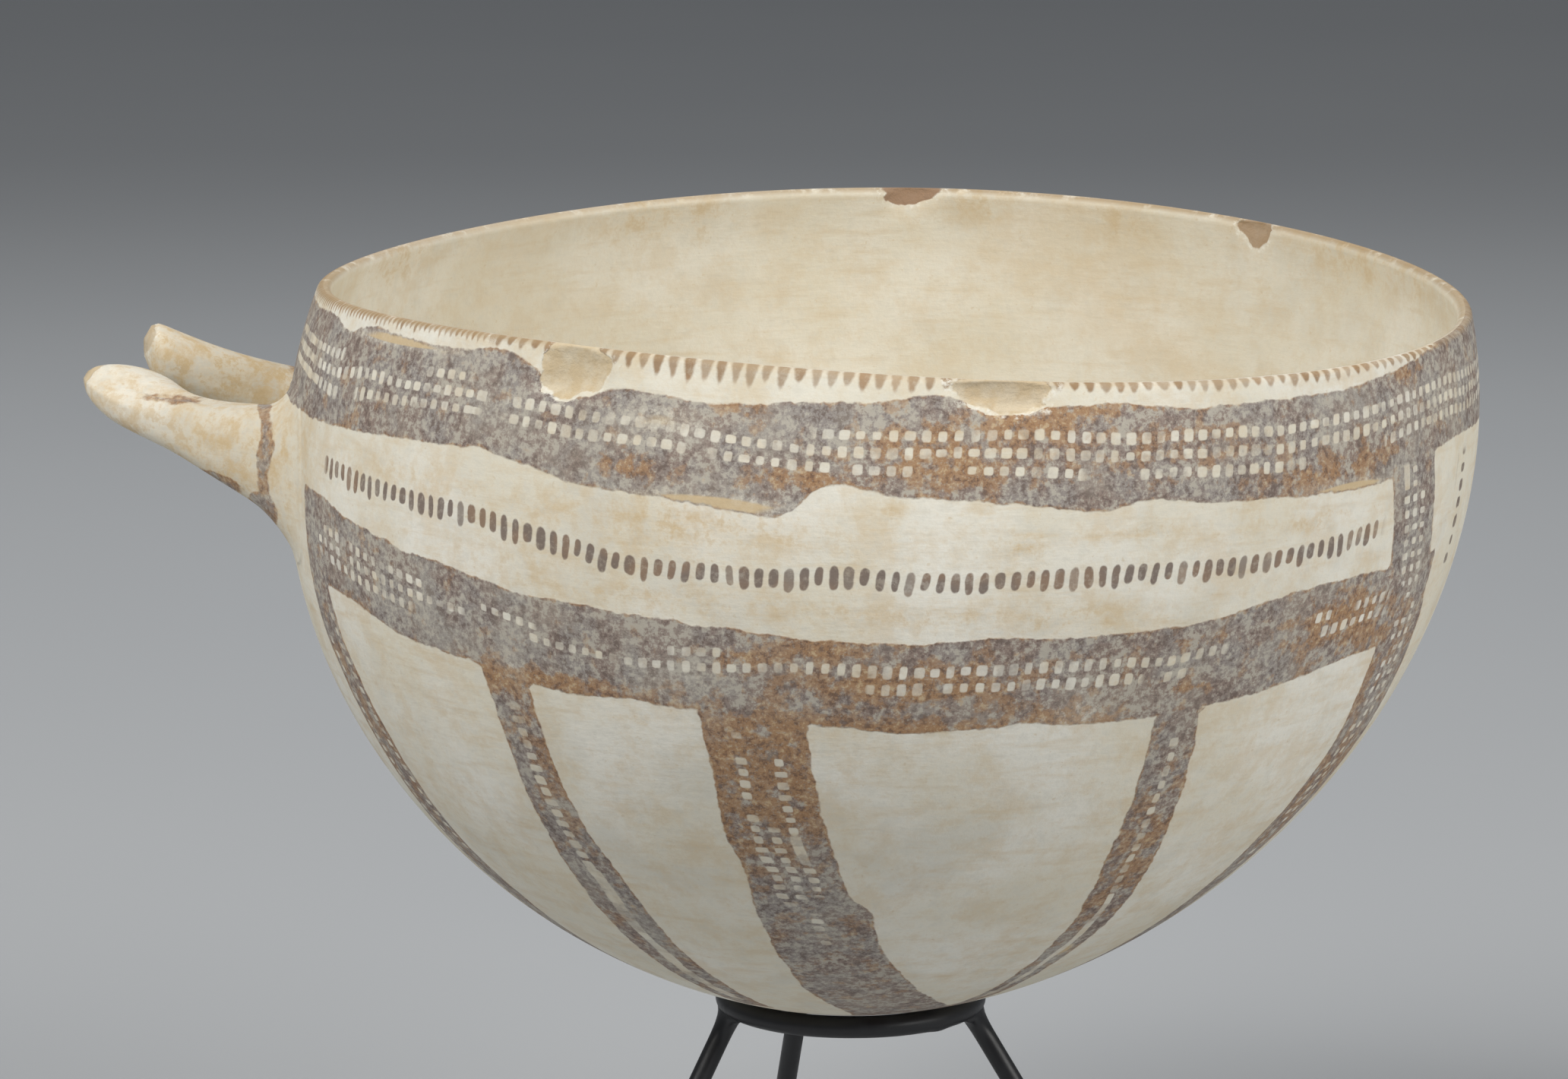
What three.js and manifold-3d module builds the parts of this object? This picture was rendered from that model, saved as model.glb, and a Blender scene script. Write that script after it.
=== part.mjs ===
// A round-bottomed milk bowl of painted pottery, resting in a ring stand of steel rod.
//
// The bowl was built up by hand and fired as one piece: a thin-walled open hemisphere that turns in a
// little at the rim, with the two stumps of a wishbone handle whose loop has broken away. The stand is a
// ring of rod on three splayed legs. Millimetres, +Z up, the handle towards -X. The origin is on the
// floor, under the middle of the whole.

import * as THREE from 'three';
import { mergeVertices } from 'three/addons/utils/BufferGeometryUtils.js';
import Module from 'manifold-3d';

const wasm = await Module();
wasm.setup();

const { sin, cos, tan, atan2, sqrt, abs, sign, max, PI } = Math;
const { degToRad, lerp, smoothstep } = THREE.MathUtils;

// The bowl's body, in a frame of its own: the lowest point is the origin and the axis is Z.
const BOWL_HEIGHT = 115.7; // up to the mean height of the rim
const BELLY_RADIUS = 91.8; // at the widest level
const BELLY_HEIGHT = 91.5; // the widest level
const BOTTOM_FULLNESS = 1.77; // 2 makes the round bottom half an ellipse, less makes it more pointed
const TURN_IN = 0.0066; // how fast the wall turns in above the belly, per millimetre

// The wall, thickest where the bowl rests.
const WALL_AT_BASE = 6.0;
const WALL_AT_BELLY = 4.4;
const WALL_AT_RIM = 3.0;

// The hand-built body isn't true: it leans to one side, and its rim rises and falls.
const LEAN_AZIMUTH = 11;
const LEAN_LINEAR = 1.8; // sideways shift at the rim, growing with the height
const LEAN_SQUARE = 4.7; // sideways shift at the rim, growing with the height squared
const RIM_WAVES = [
  { lobes: 2, height: 1.85, peak: 78.8 },
  { lobes: 3, height: 0.47, peak: 115 },
];
const RIM_BULGE = 1.6; // how far the rim stands out on the side away from the lean
const RIM_POWER = 4; // keeps the waves and the bulge near the rim

// Flakes lost from the lip: the place round the rim in degrees, the height in the bowl's frame, and the
// size of the flake along the rim, up the wall and into it.
const RIM_CHIPS = [
  { azimuth: -111.4, height: 112.4, along: 11.5, tall: 8.5, deep: 3.0, inside: false },
  { azimuth: -70.2, height: 113.6, along: 14.0, tall: 5.6, deep: 2.6, inside: false },
  { azimuth: 98.9, height: 114.6, along: 9.5, tall: 4.4, deep: 2.6, inside: true },
  { azimuth: 57.2, height: 113.6, along: 7.0, tall: 5.0, deep: 2.4, inside: true },
];

// How the bowl sits in the ring: turned a little about the centre of the sphere that its underside follows.
const SEAT_TURN_X = 1.4;
const SEAT_TURN_Y = 1.5;

// The stumps of the handle, in the bowl's frame. Each runs from a root in the wall to a break at its tip.
// The section is a rounded strap. The half height and the rise follow the share of the way to the tip.
const STUMPS = [
  {
    root: new THREE.Vector3(-84, -28.5, 87.4),
    tip: new THREE.Vector3(-118.6, -16.5, 96.2),
    sag: 3.2, // four times what the middle hangs under the straight line
    tipHalfHeight: 4.0,
    rootSwell: 4.6,
    tipHalfWidth: 4.3,
    rootWidening: 2.2,
    webRemnant: 5.5, // what is left at the tip of the web that joined the two arms
    wornTip: 8, // the length of the tip that is worn round
  },
  {
    root: new THREE.Vector3(-84, 31, 81.2),
    tip: new THREE.Vector3(-119.8, 18, 95.2),
    sag: 3.0,
    tipHalfHeight: 4.9,
    rootSwell: 3.8,
    tipHalfWidth: 4.2,
    rootWidening: 2.2,
    webRemnant: 2.0,
    wornTip: 1.6,
  },
];
const ROOT_SWELL_POWER = 2.6;
const STUMP_SQUARENESS = 2.6; // exponent of the section's superellipse
const STUMP_BURIAL = 9; // how far a stump is carried past its root before it is cut to the wall
const WEB_STARTS = 0.45; // the share of the way along where the web's remnant begins
const TIP_ROUNDNESS = 0.4 * PI; // the turn from the side of a tip to its blunt end

// The ring stand, of round steel rod.
const ROD = 3.2;
const RING_RADIUS = 19.7; // to the middle of the rod
const RING_HEIGHT = 58; // from the floor to the middle of the rod
const LEG_SPLAY = 34; // from the vertical
const LEGS = [
  { name: 'stand_leg_back', top: 123.5, points: 112 },
  { name: 'stand_leg_left', top: 205.7, points: 232.3 },
  { name: 'stand_leg_right', top: -1.7, points: -12.2 },
];

const JOINT_GAP = 0.3; // left between pieces that touch

// How finely each piece is faceted.
const BOWL_SEGMENTS = 72;
const OUTER_LEVELS = 22;
const INNER_LEVELS = 16;
const LIP_STEPS = 3;
const STUMP_SIDES = 16;
const STUMP_STEPS = 9;
const TIP_STEPS = 4;
const CHIP_SIDES = 10;
const CHIP_RINGS = 6;
const RING_SEGMENTS = 54;
const ROD_SIDES = 10;

const pottery = new THREE.MeshStandardMaterial({ color: 0xcdbf9f, roughness: 0.85, metalness: 0 });
const blackPaint = new THREE.MeshStandardMaterial({ color: 0x17171a, roughness: 0.5, metalness: 0.2 });

// A closed geometry as a solid, with shared vertices merged and faces of no area left out.
function solidOf(geometry) {
  const bare = geometry.clone();
  bare.deleteAttribute('normal');
  bare.deleteAttribute('uv');
  const merged = mergeVertices(bare, 1e-5);
  const corners = [];
  for (let i = 0; i < merged.index.count; i += 3) {
    const [a, b, c] = [0, 1, 2].map((k) => merged.index.getX(i + k));
    if (a !== b && b !== c && c !== a) corners.push(a, b, c);
  }
  const mesh = new wasm.Mesh({
    numProp: 3,
    vertProperties: new Float32Array(merged.attributes.position.array),
    triVerts: new Uint32Array(corners),
  });
  return new wasm.Manifold(mesh);
}

function geometryOf(solid) {
  const { vertProperties, triVerts } = solid.getMesh();
  const geometry = new THREE.BufferGeometry();
  geometry.setAttribute('position', new THREE.BufferAttribute(vertProperties, 3));
  geometry.setIndex(new THREE.BufferAttribute(triVerts, 1));
  geometry.computeVertexNormals();
  return geometry;
}

// A closed skin over rings of equal numbers of points, with a fan of faces over each end.
function loft(rings) {
  const sides = rings[0].length;
  const middle = (ring) => ring.reduce((sum, p) => sum.add(p), new THREE.Vector3()).divideScalar(sides);
  const points = [...rings.flat(), middle(rings[0]), middle(rings.at(-1))];
  const [startPole, endPole] = [points.length - 2, points.length - 1];
  const lastRing = (rings.length - 1) * sides;
  const faces = [];
  for (let j = 0; j < sides; j++) {
    const k = (j + 1) % sides;
    faces.push(startPole, k, j, endPole, lastRing + j, lastRing + k);
    for (let i = 0; i < rings.length - 1; i++) {
      const [low, high] = [i * sides, (i + 1) * sides];
      faces.push(low + j, low + k, high + k, low + j, high + k, high + j);
    }
  }
  const geometry = new THREE.BufferGeometry().setFromPoints(points);
  geometry.setIndex(faces);
  geometry.computeVertexNormals();
  return geometry;
}

// The outer radius of the body at a height: a superellipse up to the belly, then a parabola turning in.
function outerRadius(z) {
  if (z > BELLY_HEIGHT) return BELLY_RADIUS - TURN_IN * (z - BELLY_HEIGHT) ** 2;
  const below = (BELLY_HEIGHT - z) / BELLY_HEIGHT;
  return BELLY_RADIUS * (1 - below ** 2) ** (1 / BOTTOM_FULLNESS);
}

function wallThickness(z) {
  const lower = lerp(WALL_AT_BASE, WALL_AT_BELLY, smoothstep(z, 0, BELLY_HEIGHT));
  return lerp(lower, WALL_AT_RIM, smoothstep(z, BELLY_HEIGHT, BOWL_HEIGHT));
}

// Heights that crowd together towards the lowest point, where the wall is nearly level.
function levels(count, top) {
  return Array.from({ length: count + 1 }, (_, i) => top * (i / count) ** BOTTOM_FULLNESS);
}

// The point of the profile that lies a share of the wall's thickness in from the outside, at a level.
function profilePoint(z, depthShare) {
  const step = 0.05;
  const rise = new THREE.Vector2(outerRadius(z + step) - outerRadius(max(z - step, 0)), 2 * step);
  const inward = z === 0 ? new THREE.Vector2(0, 1) : new THREE.Vector2(-rise.y, rise.x).normalize();
  const depth = wallThickness(z) * depthShare;
  return new THREE.Vector2(max(outerRadius(z) + inward.x * depth, 0), z + inward.y * depth);
}

// A point of the true body, moved by the lean of the wall and by the waves and the bulge of its rim.
function placeOnBody(point) {
  const share = point.z / BOWL_HEIGHT;
  const nearRim = share ** RIM_POWER;
  const lean = LEAN_LINEAR * share + LEAN_SQUARE * share ** 2;
  const azimuth = atan2(point.y, point.x);
  const bulge = RIM_BULGE * max(-cos(azimuth - degToRad(LEAN_AZIMUTH)), 0) ** 2 * nearRim;
  let wave = 0;
  for (const { lobes, height, peak } of RIM_WAVES) wave += height * cos(lobes * (azimuth - degToRad(peak)));
  return new THREE.Vector3(
    point.x + lean * cos(degToRad(LEAN_AZIMUTH)) + bulge * cos(azimuth),
    point.y + lean * sin(degToRad(LEAN_AZIMUTH)) + bulge * sin(azimuth),
    point.z + wave * nearRim,
  );
}

// Turns a profile about the axis, then leans the body over and sets the waves in its rim.
function bodyOf(profile) {
  const geometry = new THREE.LatheGeometry(profile, BOWL_SEGMENTS).rotateX(PI / 2);
  const position = geometry.attributes.position;
  for (let i = 0; i < position.count; i++) {
    const point = placeOnBody(new THREE.Vector3().fromBufferAttribute(position, i));
    position.setXYZ(i, point.x, point.y, point.z);
  }
  return solidOf(geometry);
}

// The hollow body: up the outside, over the rounded lip and down the inside to the middle of the floor.
function hollowBody() {
  const lipRadius = WALL_AT_RIM / 2;
  const top = BOWL_HEIGHT - lipRadius;
  const outside = levels(OUTER_LEVELS, top).map((z) => profilePoint(z, 0));
  const inside = levels(INNER_LEVELS, top).map((z) => profilePoint(z, 1)).reverse();
  const from = outside.at(-1);
  const to = inside[0];
  const middle = from.clone().lerp(to, 0.5);
  const across = from.clone().sub(middle);
  const upwards = new THREE.Vector2(-across.y, across.x);
  const lip = [];
  for (let i = 1; i <= LIP_STEPS; i++) {
    const angle = (PI * i) / (LIP_STEPS + 1);
    lip.push(middle.clone().addScaledVector(across, cos(angle)).addScaledVector(upwards, sin(angle)));
  }
  return bodyOf([...outside, ...lip, ...inside]);
}

// A plug that reaches from the hollow to the middle of the wall, to cut a stump back to the wall.
function plug() {
  const above = BOWL_HEIGHT + 10;
  const sides = levels(INNER_LEVELS, BOWL_HEIGHT).map((z) => profilePoint(z, 0.5));
  const rim = sides.at(-1);
  return bodyOf([...sides, new THREE.Vector2(rim.x, above), new THREE.Vector2(0, above)]);
}

// An upright section of a rounded strap: a superellipse, wider on the inner side by what is left of the web.
function strapSection({ middle, inner, turn, halfWidth, halfHeight, web }) {
  const squared = (value) => sign(value) * abs(value) ** (2 / STUMP_SQUARENESS);
  return Array.from({ length: STUMP_SIDES }, (_, j) => {
    const angle = (turn * 2 * PI * j) / STUMP_SIDES;
    const across = squared(cos(angle));
    const point = middle.clone().addScaledVector(inner, across * (across > 0 ? halfWidth + web : halfWidth));
    point.z += squared(sin(angle)) * halfHeight;
    return point;
  });
}

function stump(form) {
  const along = form.tip.clone().sub(form.root);
  const length = along.length();
  const turn = sign(form.root.y);
  const inner = new THREE.Vector3(along.y, -along.x, 0).normalize().multiplyScalar(-turn);
  const roundShare = form.wornTip / length;

  const section = (share, shrink) => {
    const middle = form.root.clone().addScaledVector(along, share);
    middle.z -= form.sag * share * (1 - share);
    const swell = max(1 - share, 0) ** ROOT_SWELL_POWER;
    return strapSection({
      middle,
      inner,
      turn,
      halfWidth: (form.tipHalfWidth + form.rootWidening * swell) * shrink,
      halfHeight: (form.tipHalfHeight + form.rootSwell * swell) * shrink,
      web: form.webRemnant * smoothstep(share, WEB_STARTS, 1 - roundShare) * shrink,
    });
  };

  const rings = [section(-STUMP_BURIAL / length, 1)];
  for (let i = 0; i <= STUMP_STEPS; i++) rings.push(section(((1 - roundShare) * i) / STUMP_STEPS, 1));
  for (let i = 1; i <= TIP_STEPS; i++) {
    const angle = (TIP_ROUNDNESS * i) / TIP_STEPS;
    rings.push(section(1 - roundShare * (1 - sin(angle) / sin(TIP_ROUNDNESS)), cos(angle)));
  }
  return solidOf(loft(rings));
}

// A flake lost from the lip, as a flattened ball set across the edge.
function chip({ azimuth, height, along, tall, deep, inside }) {
  const turn = degToRad(azimuth);
  const wall = profilePoint(height, inside ? 1 : 0).x;
  const centre = placeOnBody(new THREE.Vector3(wall * cos(turn), wall * sin(turn), height));
  const ball = new THREE.SphereGeometry(0.5, CHIP_SIDES, CHIP_RINGS).scale(deep, along, tall);
  ball.rotateZ(turn).translate(centre.x, centre.y, centre.z);
  return solidOf(ball);
}

function bowlGeometry() {
  const cutter = plug();
  let bowl = hollowBody();
  for (const form of STUMPS) bowl = bowl.add(stump(form).subtract(cutter));
  for (const flake of RIM_CHIPS) bowl = bowl.subtract(chip(flake));
  return geometryOf(bowl);
}

// Where the round bottom comes to rest in the ring, measured up from the middle of the ring's rod: the
// height of the bowl's lowest point, and of the centre of the sphere that the underside follows there.
function seat() {
  const clearance = ROD / 2 + JOINT_GAP;
  let lowest = -Infinity;
  let centre = 0;
  for (let r = RING_RADIUS - clearance + 0.01; r < RING_RADIUS; r += 0.01) {
    const z = BELLY_HEIGHT * (1 - sqrt(1 - (r / BELLY_RADIUS) ** BOTTOM_FULLNESS));
    const touch = sqrt(clearance ** 2 - (r - RING_RADIUS) ** 2);
    if (touch - z > lowest) {
      lowest = touch - z;
      centre = (touch * RING_RADIUS) / (RING_RADIUS - r);
    }
  }
  return { lowest, centre };
}

// A straight leg, cut level under the ring and level on the floor.
function legGeometry({ top, points }) {
  const splay = tan(degToRad(LEG_SPLAY));
  const run = new THREE.Vector3(cos(degToRad(points)) * splay, sin(degToRad(points)) * splay, -1);
  const topHeight = RING_HEIGHT - ROD / 2 - JOINT_GAP;
  const start = new THREE.Vector3(cos(degToRad(top)), sin(degToRad(top)), 0).multiplyScalar(RING_RADIUS);
  start.z = topHeight;
  const axis = run.clone().normalize();
  const side = new THREE.Vector3(-run.y, run.x, 0).normalize();
  const front = new THREE.Vector3().crossVectors(axis, side);
  const cut = (height) => Array.from({ length: ROD_SIDES }, (_, j) => {
    const angle = (2 * PI * j) / ROD_SIDES;
    const rim = start.clone().addScaledVector(side, (cos(angle) * ROD) / 2);
    rim.addScaledVector(front, (sin(angle) * ROD) / 2);
    return rim.addScaledVector(run, rim.z - height);
  });
  return loft([cut(topHeight), cut(0)]);
}

const stand = new THREE.Group();
const hoop = new THREE.TorusGeometry(RING_RADIUS, ROD / 2, ROD_SIDES, RING_SEGMENTS);
const ring = new THREE.Mesh(hoop, blackPaint);
ring.name = 'stand_ring';
ring.position.z = RING_HEIGHT;
stand.add(ring);
for (const leg of LEGS) {
  const mesh = new THREE.Mesh(legGeometry(leg), blackPaint);
  mesh.name = leg.name;
  stand.add(mesh);
}

const { lowest, centre } = seat();
const bowl = new THREE.Mesh(bowlGeometry(), pottery);
bowl.name = 'bowl';
bowl.position.z = lowest - centre;
const seated = new THREE.Group();
seated.position.z = RING_HEIGHT + centre;
seated.rotation.set(degToRad(SEAT_TURN_X), degToRad(SEAT_TURN_Y), 0);
seated.add(bowl);

const milkBowl = new THREE.Group();
milkBowl.add(stand, seated);
const middle = new THREE.Box3().setFromObject(milkBowl, true).getCenter(new THREE.Vector3());
milkBowl.position.set(-middle.x, -middle.y, 0);

export default milkBowl;
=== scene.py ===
"""A painted milk bowl with a broken handle, resting in its steel ring stand.

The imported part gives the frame; this script makes the surfaces that are seen around it. Lengths are in
millimetres and angles in degrees until a mesh is written, when its points become metres. The bowl is
worked out in a frame of its own, as in the part: the lowest point is the origin, the axis is Z, and the
handle points towards -X. An azimuth is counted from +X, counter-clockwise seen from above.
"""

import logging
from dataclasses import dataclass
from enum import Enum
from typing import Any, Sequence, Union

import bpy
import numpy as np
from mathutils import Matrix, Vector


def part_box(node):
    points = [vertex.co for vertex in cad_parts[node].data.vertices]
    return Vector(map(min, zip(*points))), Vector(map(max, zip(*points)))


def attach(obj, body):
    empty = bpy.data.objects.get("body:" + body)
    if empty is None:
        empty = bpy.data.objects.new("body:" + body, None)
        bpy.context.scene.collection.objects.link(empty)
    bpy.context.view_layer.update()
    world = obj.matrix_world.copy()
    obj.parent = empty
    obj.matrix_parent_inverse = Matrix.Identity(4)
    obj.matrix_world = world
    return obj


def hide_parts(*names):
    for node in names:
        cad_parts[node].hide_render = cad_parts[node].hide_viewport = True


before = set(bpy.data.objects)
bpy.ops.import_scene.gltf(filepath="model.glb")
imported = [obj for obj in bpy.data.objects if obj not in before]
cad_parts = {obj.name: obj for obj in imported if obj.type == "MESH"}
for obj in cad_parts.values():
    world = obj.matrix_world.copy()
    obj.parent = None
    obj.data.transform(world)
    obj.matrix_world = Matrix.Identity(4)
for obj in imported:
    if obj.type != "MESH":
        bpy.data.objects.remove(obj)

MM = 0.001
RIPPLE_WAVES = 5
log = logging.getLogger("milk_bowl")

Stops = tuple[tuple[float, float], ...]
Spans = tuple[tuple[float, float], ...]
Triple = tuple[float, float, float]
Colour = Triple


# Numbers along curves

def smooth_curve(stops: Stops, at: np.ndarray) -> np.ndarray:
    """A smooth curve through stops: a cubic between each two, with the slope of its neighbours' chord.

    Args:
        stops: places in rising order, each with its value.
        at: where the curve is read; outside the stops it keeps the end values.

    Returns:
        The values of the curve.
    """
    places, values = np.array(stops, dtype=float).T
    slope = np.gradient(values, places)
    before = np.clip(np.searchsorted(places, at) - 1, 0, len(places) - 2)
    after = before + 1
    step = places[after] - places[before]
    share = np.clip((at - places[before]) / step, 0.0, 1.0)
    rest = 1 - share
    start = (1 + 2 * share) * rest**2 * values[before] + share * rest**2 * step * slope[before]
    return start + share**2 * (3 - 2 * share) * values[after] + share**2 * (share - 1) * step * slope[after]


def within(spans: Spans, at: np.ndarray, fade: float) -> np.ndarray:
    """1 inside any of the spans and 0 outside, with straight ramps of the length of fade at their ends."""
    inside = [np.clip((at - low) / fade, 0, 1) * np.clip((high - at) / fade, 0, 1) for low, high in spans]
    return np.max(inside, axis=0) if inside else np.zeros_like(at)


def smoothstep(low: float, high: float, at: np.ndarray) -> np.ndarray:
    """0 below low, 1 above high, and an S-shaped rise between."""
    share = np.clip((at - low) / (high - low), 0.0, 1.0)
    return share * share * (3 - 2 * share)


def fillet(clearance: np.ndarray, radius: np.ndarray) -> np.ndarray:
    """How far a round fillet stands out from a stem, by the clearance from the wall that the stem meets.

    It is the gap between the stem and a quarter circle that touches the stem and the wall.
    """
    reach = radius - np.clip(clearance, 0.0, radius)
    return radius - np.sqrt(np.maximum(radius**2 - reach**2, 0.0))


def ripple(across: np.ndarray, along: np.ndarray, seed: int) -> np.ndarray:
    """A gentle unevenness between -1 and 1: the mean of a few sine waves that run in random directions."""
    rng = np.random.default_rng(seed)
    total = np.zeros(np.broadcast(across, along).shape)
    for _ in range(RIPPLE_WAVES):
        pace_across, pace_along = rng.uniform(-1, 1, 2)
        total = total + np.sin(pace_across * across + pace_along * along + rng.uniform(0, 2 * np.pi))
    return total / RIPPLE_WAVES


# Meshes

def grid_faces(rows: int, columns: int, first: int = 0) -> np.ndarray:
    """The four-cornered faces of a grid whose columns run round and close."""
    row, column = np.meshgrid(np.arange(rows - 1), np.arange(columns), indexing="ij")
    low = first + row * columns
    right = (column + 1) % columns
    corners = [low + column, low + right, low + columns + right, low + columns + column]
    return np.stack(corners, axis=-1).reshape(-1, 4)


def closed_skin(rings: np.ndarray, start: np.ndarray, end: np.ndarray) -> tuple[np.ndarray, list[list[int]]]:
    """A skin over rings of points, closed at both ends by fans of faces to a start and an end point.

    Args:
        rings: an array of rings by points by 3.
        start: the point that closes the first ring.
        end: the point that closes the last ring.

    Returns:
        The points and the faces.
    """
    rows, columns, _ = rings.shape
    points = np.vstack([rings.reshape(-1, 3), start, end])
    around = np.arange(columns)
    after = (around + 1) % columns
    last = (rows - 1) * columns
    first_fan = np.stack([np.full(columns, rows * columns), after, around], axis=-1)
    last_fan = np.stack([np.full(columns, rows * columns + 1), last + around, last + after], axis=-1)
    faces = grid_faces(rows, columns).tolist() + first_fan.tolist() + last_fan.tolist()
    return points, faces


def make_piece(name: str, points: np.ndarray, faces: Sequence[Sequence[int]]) -> bpy.types.Object:
    """A smooth-shaded piece from points in millimetres, with its faces turned outwards.

    Args:
        name: the piece's name.
        points: its corners, in the part's frame.
        faces: the corners of each face.

    Returns:
        The new object, at the origin.
    """
    mesh = bpy.data.meshes.new(name)
    mesh.from_pydata((points * MM).tolist(), [], faces)
    mesh.update()
    mesh.polygons.foreach_set("use_smooth", np.ones(len(mesh.polygons), dtype=bool))
    piece = bpy.data.objects.new(name, mesh)
    bpy.context.scene.collection.objects.link(piece)
    if signed_volume(mesh) < 0:
        mesh.flip_normals()
    return piece


def signed_volume(mesh: bpy.types.Mesh) -> float:
    """The volume inside a closed mesh, negative when its faces point inwards."""
    mesh.calc_loop_triangles()
    corners = np.empty(len(mesh.loop_triangles) * 3, dtype=np.int32)
    mesh.loop_triangles.foreach_get("vertices", corners)
    first, second, third = mesh_points(mesh)[corners.reshape(-1, 3).T]
    return float(np.einsum("ij,ij->i", first, np.cross(second, third)).sum() / 6)


def mesh_points(mesh: bpy.types.Mesh) -> np.ndarray:
    """The corners of a mesh, in metres."""
    flat = np.empty(len(mesh.vertices) * 3, dtype=np.float32)
    mesh.vertices.foreach_get("co", flat)
    return flat.reshape(-1, 3).astype(float)


def joined(body: bpy.types.Object, additions: Sequence[bpy.types.Object]) -> bpy.types.Object:
    """Body with the additions grown into it as one closed skin; the additions' own objects are removed."""
    for addition in additions:
        union = body.modifiers.new("join_" + addition.name, "BOOLEAN")
        union.operation = "UNION"
        union.solver = "EXACT"
        union.object = addition
    evaluated = body.evaluated_get(bpy.context.evaluated_depsgraph_get())
    whole = bpy.data.meshes.new_from_object(evaluated)
    body.modifiers.clear()
    body.data = whole
    for addition in additions:
        bpy.data.objects.remove(addition)
    whole.polygons.foreach_set("use_smooth", np.ones(len(whole.polygons), dtype=bool))
    return body


def put_attribute(mesh: bpy.types.Mesh, name: str, values: np.ndarray) -> None:
    """Stores one number or one vector per corner of the mesh, for the materials to read."""
    if values.ndim == 1:
        mesh.attributes.new(name, "FLOAT", "POINT").data.foreach_set("value", values.astype(np.float32))
    else:
        data = mesh.attributes.new(name, "FLOAT_VECTOR", "POINT").data
        data.foreach_set("vector", values.astype(np.float32).ravel())


# The shape of the bowl

@dataclass(frozen=True)
class BowlForm:
    """The hand-built body of the bowl, with the part's own driving dimensions."""

    height: float = 115.7
    belly_radius: float = 91.8
    belly_height: float = 91.5
    bottom_fullness: float = 1.77
    turn_in: float = 0.0066
    wall_at_base: float = 6.0
    wall_at_belly: float = 4.4
    wall_at_rim: float = 2.3
    lean_azimuth: float = 11.0
    lean_linear: float = 1.8
    lean_square: float = 4.7
    rim_waves: tuple[Triple, ...] = ((2, 1.85, 78.8), (3, 0.47, 115.0))
    rim_bulge: float = 1.6
    rim_power: float = 4.0
    lowest_level: float = 0.5
    normal_step: float = 0.05
    fine_steps: int = 800
    location_rounds: int = 4

    def outer_radius(self, z: np.ndarray) -> np.ndarray:
        """A superellipse up to the belly, then a parabola turning in."""
        below = np.clip((self.belly_height - z) / self.belly_height, 0.0, 1.0)
        lower = self.belly_radius * (1 - below**2) ** (1 / self.bottom_fullness)
        upper = self.belly_radius - self.turn_in * (z - self.belly_height) ** 2
        return np.where(z > self.belly_height, upper, lower)

    def wall(self, z: np.ndarray) -> np.ndarray:
        """The wall's thickness at a height, eased from base to belly and from belly to rim."""
        up_to_belly = smoothstep(0, self.belly_height, z)
        lower = self.wall_at_base + (self.wall_at_belly - self.wall_at_base) * up_to_belly
        return lower + (self.wall_at_rim - lower) * smoothstep(self.belly_height, self.height, z)

    def outward(self, z: np.ndarray) -> tuple[np.ndarray, np.ndarray]:
        """The outward normal of the profile at a height, as its radial and upward parts."""
        step = self.normal_step
        rise = self.outer_radius(z + step) - self.outer_radius(np.maximum(z - step, 0.0))
        length = np.hypot(rise, 2 * step)
        radial = np.where(z <= 0, 0.0, 2 * step / length)
        upward = np.where(z <= 0, -1.0, -rise / length)
        return radial, upward

    def profile(self, z: np.ndarray, share: float) -> tuple[np.ndarray, np.ndarray]:
        """The radius and height of the point a share of the wall's thickness in from the outside."""
        radial, upward = self.outward(z)
        depth = self.wall(z) * share
        return np.maximum(self.outer_radius(z) - radial * depth, 0.0), z - upward * depth

    def fine_levels(self, top: float) -> np.ndarray:
        """Many heights up to a top, closest together at the bottom, where the profile is flattest."""
        return top * np.linspace(0, 1, self.fine_steps) ** 2

    def arc_length(self, z: np.ndarray) -> np.ndarray:
        """The length of the outer profile from the lowest point up to a height."""
        fine = self.fine_levels(self.height)
        steps = np.hypot(np.diff(fine), np.diff(self.outer_radius(fine)))
        return np.interp(z, fine, np.concatenate([[0.0], np.cumsum(steps)]))

    def levels(self, count: int, top: float, crowding: float) -> np.ndarray:
        """Heights from the lowest point to a top, evenly spaced along the wall but for their crowding.

        A half wave is added to their shares of the way, so that they lie closer together near the top.
        """
        fine = self.fine_levels(top)
        share = np.linspace(0, 1, count)
        share = share + crowding * np.sin(np.pi * share)
        return np.interp(share * self.arc_length(np.array(top)), self.arc_length(fine), fine)

    def lean(self, z: np.ndarray) -> tuple[np.ndarray, np.ndarray]:
        """How far the body has leant over at a height."""
        share = z / self.height
        shift = self.lean_linear * share + self.lean_square * share**2
        return shift * np.cos(np.radians(self.lean_azimuth)), shift * np.sin(np.radians(self.lean_azimuth))

    def rim_wave(self, azimuth: np.ndarray) -> np.ndarray:
        """How far the rim rises at an azimuth: a sum of cosine waves round the bowl."""
        turns = [(lobes, height, np.radians(azimuth - peak)) for lobes, height, peak in self.rim_waves]
        return np.sum([height * np.cos(lobes * turn) for lobes, height, turn in turns], axis=0)

    def bulge(self, azimuth: np.ndarray) -> np.ndarray:
        """How far the rim stands out on the side away from the lean."""
        return self.rim_bulge * np.maximum(-np.cos(np.radians(azimuth - self.lean_azimuth)), 0.0) ** 2

    def place(self, azimuth: np.ndarray, radius: np.ndarray, z: np.ndarray) -> np.ndarray:
        """The point of the true body for a point of the round one: leant over, with the rim's waves."""
        near_rim = (z / self.height) ** self.rim_power
        shift_x, shift_y = self.lean(z)
        reach = radius + self.bulge(azimuth) * near_rim
        turn = np.radians(azimuth)
        height = z + self.rim_wave(azimuth) * near_rim
        return np.stack([shift_x + reach * np.cos(turn), shift_y + reach * np.sin(turn), height], axis=-1)

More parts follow.
